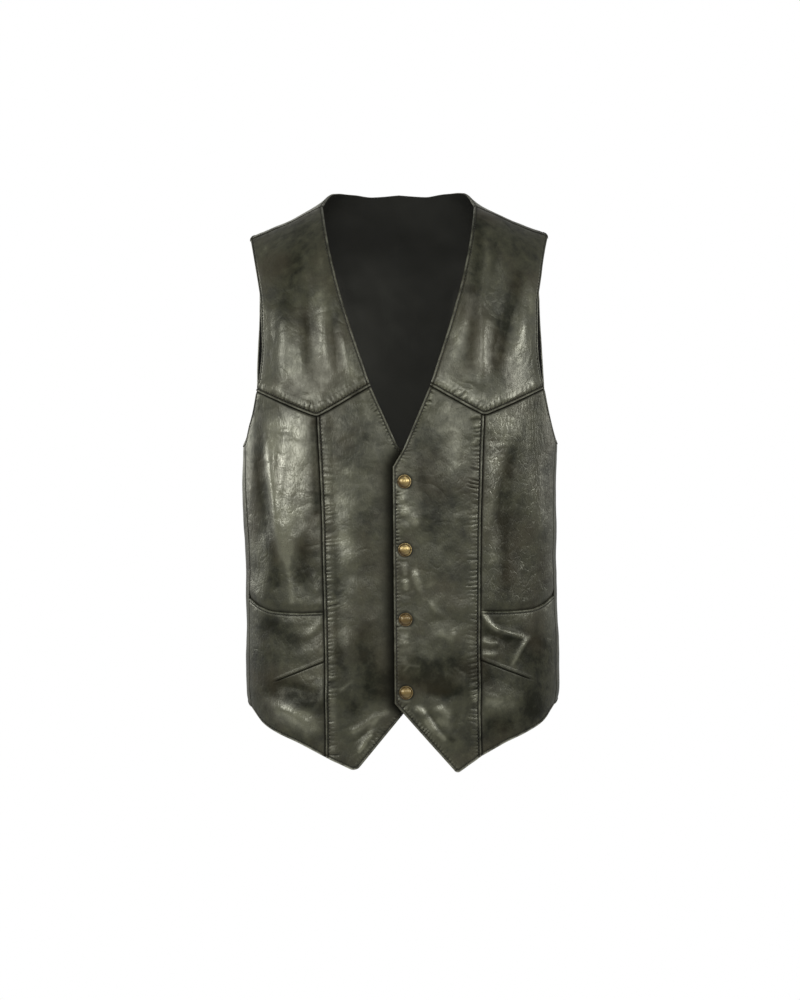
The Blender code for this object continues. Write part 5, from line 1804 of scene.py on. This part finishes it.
def brass_material():
    """Aged brass, stamped and lacquered: warm metal, white glints, brown where tarnish stays, and painted
    shade on the lower left of each cap.
    """
    name = "aged_stamped_brass"
    if name in bpy.data.materials:
        return bpy.data.materials[name]
    look = bpy.context.scene.vest_snaps
    material, tree, shader = new_material(name)
    place = add_node(tree, "ShaderNodeTexCoord", {}).outputs["Object"]
    shade = add_node(tree, "ShaderNodeAttribute", {"attribute_name": "shade"}).outputs["Fac"]

    # Tarnish spots of about 3 mm, other ones on each snap
    each = add_node(tree, "ShaderNodeObjectInfo", {}).outputs["Random"]
    spot = add_node(tree, "ShaderNodeTexNoise", {
        "noise_dimensions": "4D", "Scale": 1 / TARNISH_SPOT, "Detail": 4.0, "Roughness": 0.6}, {
        "Vector": place, "W": each})
    share = add_node(tree, "ShaderNodeMapRange", {
        "From Min": 0.42, "From Max": 0.75, "To Max": 0.8}, {"Value": spot.outputs["Fac"]})
    most = add_node(tree, "ShaderNodeMath", {"operation": "MAXIMUM"}, {0: share.outputs["Result"], 1: shade})
    tone = add_node(tree, "ShaderNodeMix", {
        "data_type": "RGBA", 6: (*look.brass, 1), 7: (*look.tarnish, 1)}, {0: most.outputs[0]})
    tree.links.new(tone.outputs[2], shader.inputs["Base Color"])
    rough = add_node(tree, "ShaderNodeMapRange", {"To Min": 0.30, "To Max": 0.6}, {"Value": most.outputs[0]})
    tree.links.new(rough.outputs["Result"], shader.inputs["Roughness"])
    shader.inputs["Metallic"].default_value = 1.0
    shader.inputs["Coat Weight"].default_value = 0.7
    shader.inputs["Coat Roughness"].default_value = 0.18
    return material


def floor_material(colour):
    """Matt painted studio floor: pale and even, with a trace of roller marks."""
    material, tree, shader = new_material("matt_floor_paint")
    place = add_node(tree, "ShaderNodeTexCoord", {}).outputs["Object"]

    # Roller marks of about 250 mm
    mark = add_node(tree, "ShaderNodeTexNoise", {"Scale": 1 / ROLLER_MARK, "Detail": 2.0}, {"Vector": place})
    tone = add_node(tree, "ShaderNodeMix", {
        "data_type": "RGBA", 6: (*colour, 1), 7: (*(ROLLER_DARK * c for c in colour), 1)}, {
        0: mark.outputs["Fac"]})
    tree.links.new(tone.outputs[2], shader.inputs["Base Color"])
    shader.inputs["Roughness"].default_value = 0.8
    return material


def add_softbox(box, stage):
    """One soft studio light."""
    data = bpy.data.lights.new(box.name, "AREA")
    data.shape = "RECTANGLE"
    data.size = box.width
    data.size_y = box.height
    data.energy = box.power * stage.lights
    data.color = stage.light_colour
    lamp = add_object(box.name, data)
    lamp.location = box.place
    lamp.rotation_mode = "QUATERNION"
    lamp.rotation_quaternion = (Vector(LIGHT_AIM) - Vector(box.place)).to_track_quat("-Z", "Y")


def add_camera():
    """Camera at the photo's angle, level in front of the vest."""
    data = bpy.data.cameras.new("photo_camera")
    data.sensor_width = SENSOR
    data.lens = SENSOR * CAMERA_DISTANCE / CAMERA_SPAN
    camera = add_object("photo_camera", data)
    camera.location = Vector(CAMERA_AIM) - Vector((0, CAMERA_DISTANCE, 0))
    camera.rotation_euler = (math.pi / 2, math.radians(-CAMERA_ROLL), 0.0)
    bpy.context.scene.camera = camera


class VestLeather(bpy.types.PropertyGroup):
    """Sizes and colours of the leather."""

    wall: bpy.props.FloatProperty(
        name="Wall", description="Thickness of leather and lining", default=LEATHER, unit="LENGTH")
    grain_size: bpy.props.FloatProperty(
        name="Grain size", description="Width of a pebble of the grain", default=0.0024, unit="LENGTH")
    crease_size: bpy.props.FloatProperty(
        name="Crease size", description="Distance of the fine creases", default=0.004, unit="LENGTH")
    crease_stretch: bpy.props.FloatProperty(
        name="Crease stretch", description="Width of a crease cell over its length", default=0.36,
        subtype="FACTOR")
    crease_slant: bpy.props.FloatProperty(
        name="Crease slant", description="Lean of the fine creases in degrees", default=40.0)
    wrinkle_size: bpy.props.FloatProperty(
        name="Wrinkle size", description="Distance of the soft wrinkles", default=0.022, unit="LENGTH")
    blotch_size: bpy.props.FloatProperty(
        name="Blotch size", description="Size of the dye blotches", default=0.045, unit="LENGTH")
    cloud_size: bpy.props.FloatProperty(
        name="Cloud size", description="Size of the wax clouds", default=0.010, unit="LENGTH")
    gloss: bpy.props.FloatProperty(
        name="Roughness", description="Mean roughness of the waxed face", default=0.36, subtype="FACTOR")
    deep: bpy.props.FloatVectorProperty(
        name="Deep dye", description="Darkest dye", default=linear("#14150d"), subtype="COLOR")
    washed: bpy.props.FloatVectorProperty(
        name="Washed dye", description="Usual dye", default=linear("#353528"), subtype="COLOR")
    faded: bpy.props.FloatVectorProperty(
        name="Faded dye", description="Palest dye", default=linear("#5d5d4f"), subtype="COLOR")
    brown: bpy.props.FloatVectorProperty(
        name="Brown", description="Where the hide shows brown", default=linear("#2d271b"), subtype="COLOR")
    # Worn edges, also the colour of the painted highlight along the hem
    rubbed: bpy.props.FloatVectorProperty(
        name="Rubbed", description="Worn edges", default=linear("#82827a"), subtype="COLOR")
    # Dirt in seams and stitch holes, also the colour of painted shade
    dirt: bpy.props.FloatVectorProperty(
        name="Dirt", description="Seams and stitch holes", default=linear("#070705"), subtype="COLOR")
    lining: bpy.props.FloatVectorProperty(
        name="Lining", description="Colour of the lining", default=linear("#0b0b0a"), subtype="COLOR")


class VestThread(bpy.types.PropertyGroup):
    """Sizes and colour of the stitching."""

    pitch: bpy.props.FloatProperty(
        name="Stitch length", description="Distance of the stitches", default=0.0039, unit="LENGTH")
    thickness: bpy.props.FloatProperty(
        name="Thickness", description="Thickness of the thread", default=0.0011, unit="LENGTH")
    colour: bpy.props.FloatVectorProperty(
        name="Thread", description="Colour of the thread", default=linear("#0b0b09"), subtype="COLOR")


class VestSnaps(bpy.types.PropertyGroup):
    """Colours of the snaps."""

    brass: bpy.props.FloatVectorProperty(
        name="Brass", description="Rubbed brass", default=linear("#b09a6a"), subtype="COLOR")
    # Tarnish, also the colour of the painted shade on the lower left of each cap
    tarnish: bpy.props.FloatVectorProperty(
        name="Tarnish", description="Aged brass", default=linear("#3f2c12"), subtype="COLOR")


class VestStage(bpy.types.PropertyGroup):
    """Colours and strength of the studio."""

    floor: bpy.props.FloatVectorProperty(
        name="Floor", description="Colour of the floor", default=linear("#f4f4f2"), subtype="COLOR")
    backdrop: bpy.props.FloatVectorProperty(
        name="Backdrop", description="Colour behind the vest", default=linear("#ffffff"), subtype="COLOR")
    ambient: bpy.props.FloatProperty(
        name="Ambient", description="Strength of the light from all round", default=0.33)
    light_colour: bpy.props.FloatVectorProperty(
        name="Light", description="Colour of the softboxes", default=linear("#fcfcea"), subtype="COLOR")
    lights: bpy.props.FloatProperty(
        name="Lights", description="Strength of the softboxes", default=1.0, subtype="FACTOR")


class VEST_OT_back(bpy.types.Operator):
    """Make the back panel"""

    bl_idname = "vest.back"
    bl_label = "Back"

    def execute(self, context):
        make_back()
        return {"FINISHED"}


class VEST_OT_yokes(bpy.types.Operator):
    """Make the two pointed front yokes"""

    bl_idname = "vest.yokes"
    bl_label = "Front yokes"

    def execute(self, context):
        for side, hand in HANDS:
            make_yoke(side, hand)
        return {"FINISHED"}


class VEST_OT_centres(bpy.types.Operator):
    """Make the two centre fronts"""

    bl_idname = "vest.centres"
    bl_label = "Front centres"

    def execute(self, context):
        for side, hand in HANDS:
            make_centre(side, hand)
        return {"FINISHED"}


class VEST_OT_sides(bpy.types.Operator):
    """Make the two side fronts"""

    bl_idname = "vest.sides"
    bl_label = "Front sides"

    def execute(self, context):
        for side, hand in HANDS:
            make_side(side, hand)
        return {"FINISHED"}


class VEST_OT_pockets(bpy.types.Operator):
    """Make the two pocket fronts"""

    bl_idname = "vest.pockets"
    bl_label = "Pocket fronts"

    def execute(self, context):
        for side, hand in HANDS:
            make_pocket(side, hand)
        return {"FINISHED"}


class VEST_OT_stitching(bpy.types.Operator):
    """Sew the rows of stitches along seams and edges"""

    bl_idname = "vest.stitching"
    bl_label = "Stitching"

    def execute(self, context):
        if not stitch_rows:
            raise RuntimeError("Make the leather panels before the stitching")
        for panel, rows in stitch_rows.items():
            if rows:
                sew(panel + "_stitching", rows, context.scene.vest_thread)
        return {"FINISHED"}


class VEST_OT_snaps(bpy.types.Operator):
    """Make the four closed snaps"""

    bl_idname = "vest.snaps"
    bl_label = "Snaps"

    def execute(self, context):
        lap = LEATHER + LAP_GAP
        for number, (z, age) in enumerate(zip(SNAP_HEIGHTS, SNAP_AGE), start=1):
            tag = "_" + str(number)
            place, normal = front_frame(LAP_AXIS_X, z, lap + PART_GAP)
            turned_piece("snap_cap" + tag, SNAP_CAP, place, normal, age)
            place, normal = front_frame(LAP_AXIS_X, z, PART_GAP)
            turned_piece("snap_socket" + tag, SNAP_SOCKET, place, normal, age)
            place, normal = front_frame(LAP_AXIS_X, z, -LEATHER - PART_GAP)
            turned_piece("snap_post" + tag, SNAP_POST, place, -normal, age)
        return {"FINISHED"}


class VEST_OT_stage(bpy.types.Operator):
    """Set the pale floor, the soft lights and the camera"""

    bl_idname = "vest.stage"
    bl_label = "Studio"

    def execute(self, context):
        stage = context.scene.vest_stage
        mesh = bmesh.new()
        bmesh.ops.create_circle(mesh, cap_ends=True, segments=FLOOR_STEPS, radius=FLOOR_RADIUS)
        data = bpy.data.meshes.new("studio_floor")
        mesh.to_mesh(data)
        mesh.free()
        data.materials.append(floor_material(stage.floor))
        floor = add_object("studio_floor", data)
        floor.location = (0.0, 0.0, FLOOR_Z)
        for box in SOFTBOXES:
            add_softbox(box, stage)
        world = bpy.data.worlds.new("studio")
        world.use_nodes = True
        tree = world.node_tree
        seen = add_node(tree, "ShaderNodeLightPath", {})
        strength = add_node(tree, "ShaderNodeMapRange", {"To Min": stage.ambient, "To Max": 1.0}, {
            "Value": seen.outputs["Is Camera Ray"]})
        ground = tree.nodes["Background"]
        ground.inputs["Color"].default_value = (*stage.backdrop, 1)
        tree.links.new(strength.outputs["Result"], ground.inputs["Strength"])
        context.scene.world = world
        context.scene.view_settings.view_transform = "Standard"
        add_camera()
        return {"FINISHED"}


OPERATORS = (VEST_OT_back, VEST_OT_yokes, VEST_OT_centres, VEST_OT_sides, VEST_OT_pockets,
             VEST_OT_stitching, VEST_OT_snaps, VEST_OT_stage)


class VEST_PT_panel(bpy.types.Panel):
    """Sidebar panel that lists the pieces"""

    bl_idname = "VEST_PT_panel"
    bl_label = "Leather vest"
    bl_space_type = "VIEW_3D"
    bl_region_type = "UI"
    bl_category = "Vest"

    def draw(self, context):
        for operator in OPERATORS:
            self.layout.operator(operator.bl_idname)
        for name in GROUPS:
            group = getattr(context.scene, name)
            for key in group.__annotations__:
                self.layout.prop(group, key)


GROUPS = {"vest_leather": VestLeather, "vest_thread": VestThread, "vest_snaps": VestSnaps,
          "vest_stage": VestStage}


def register():
    """Register the property groups, operators and panel."""
    for name, group in GROUPS.items():
        bpy.utils.register_class(group)
        setattr(bpy.types.Scene, name, bpy.props.PointerProperty(type=group))
    for kind in OPERATORS + (VEST_PT_panel,):
        bpy.utils.register_class(kind)


def unregister():
    """Take the classes away again."""
    for kind in reversed(OPERATORS + (VEST_PT_panel,)):
        bpy.utils.unregister_class(kind)
    for name, group in GROUPS.items():
        delattr(bpy.types.Scene, name)
        bpy.utils.unregister_class(group)


def main():
    """Make the vest piece by piece."""
    register()
    bpy.ops.vest.back()
    bpy.ops.vest.yokes()
    bpy.ops.vest.centres()
    bpy.ops.vest.sides()
    bpy.ops.vest.pockets()
    bpy.ops.vest.stitching()
    bpy.ops.vest.snaps()
    bpy.ops.vest.stage()


if __name__ == "__main__":
    main()
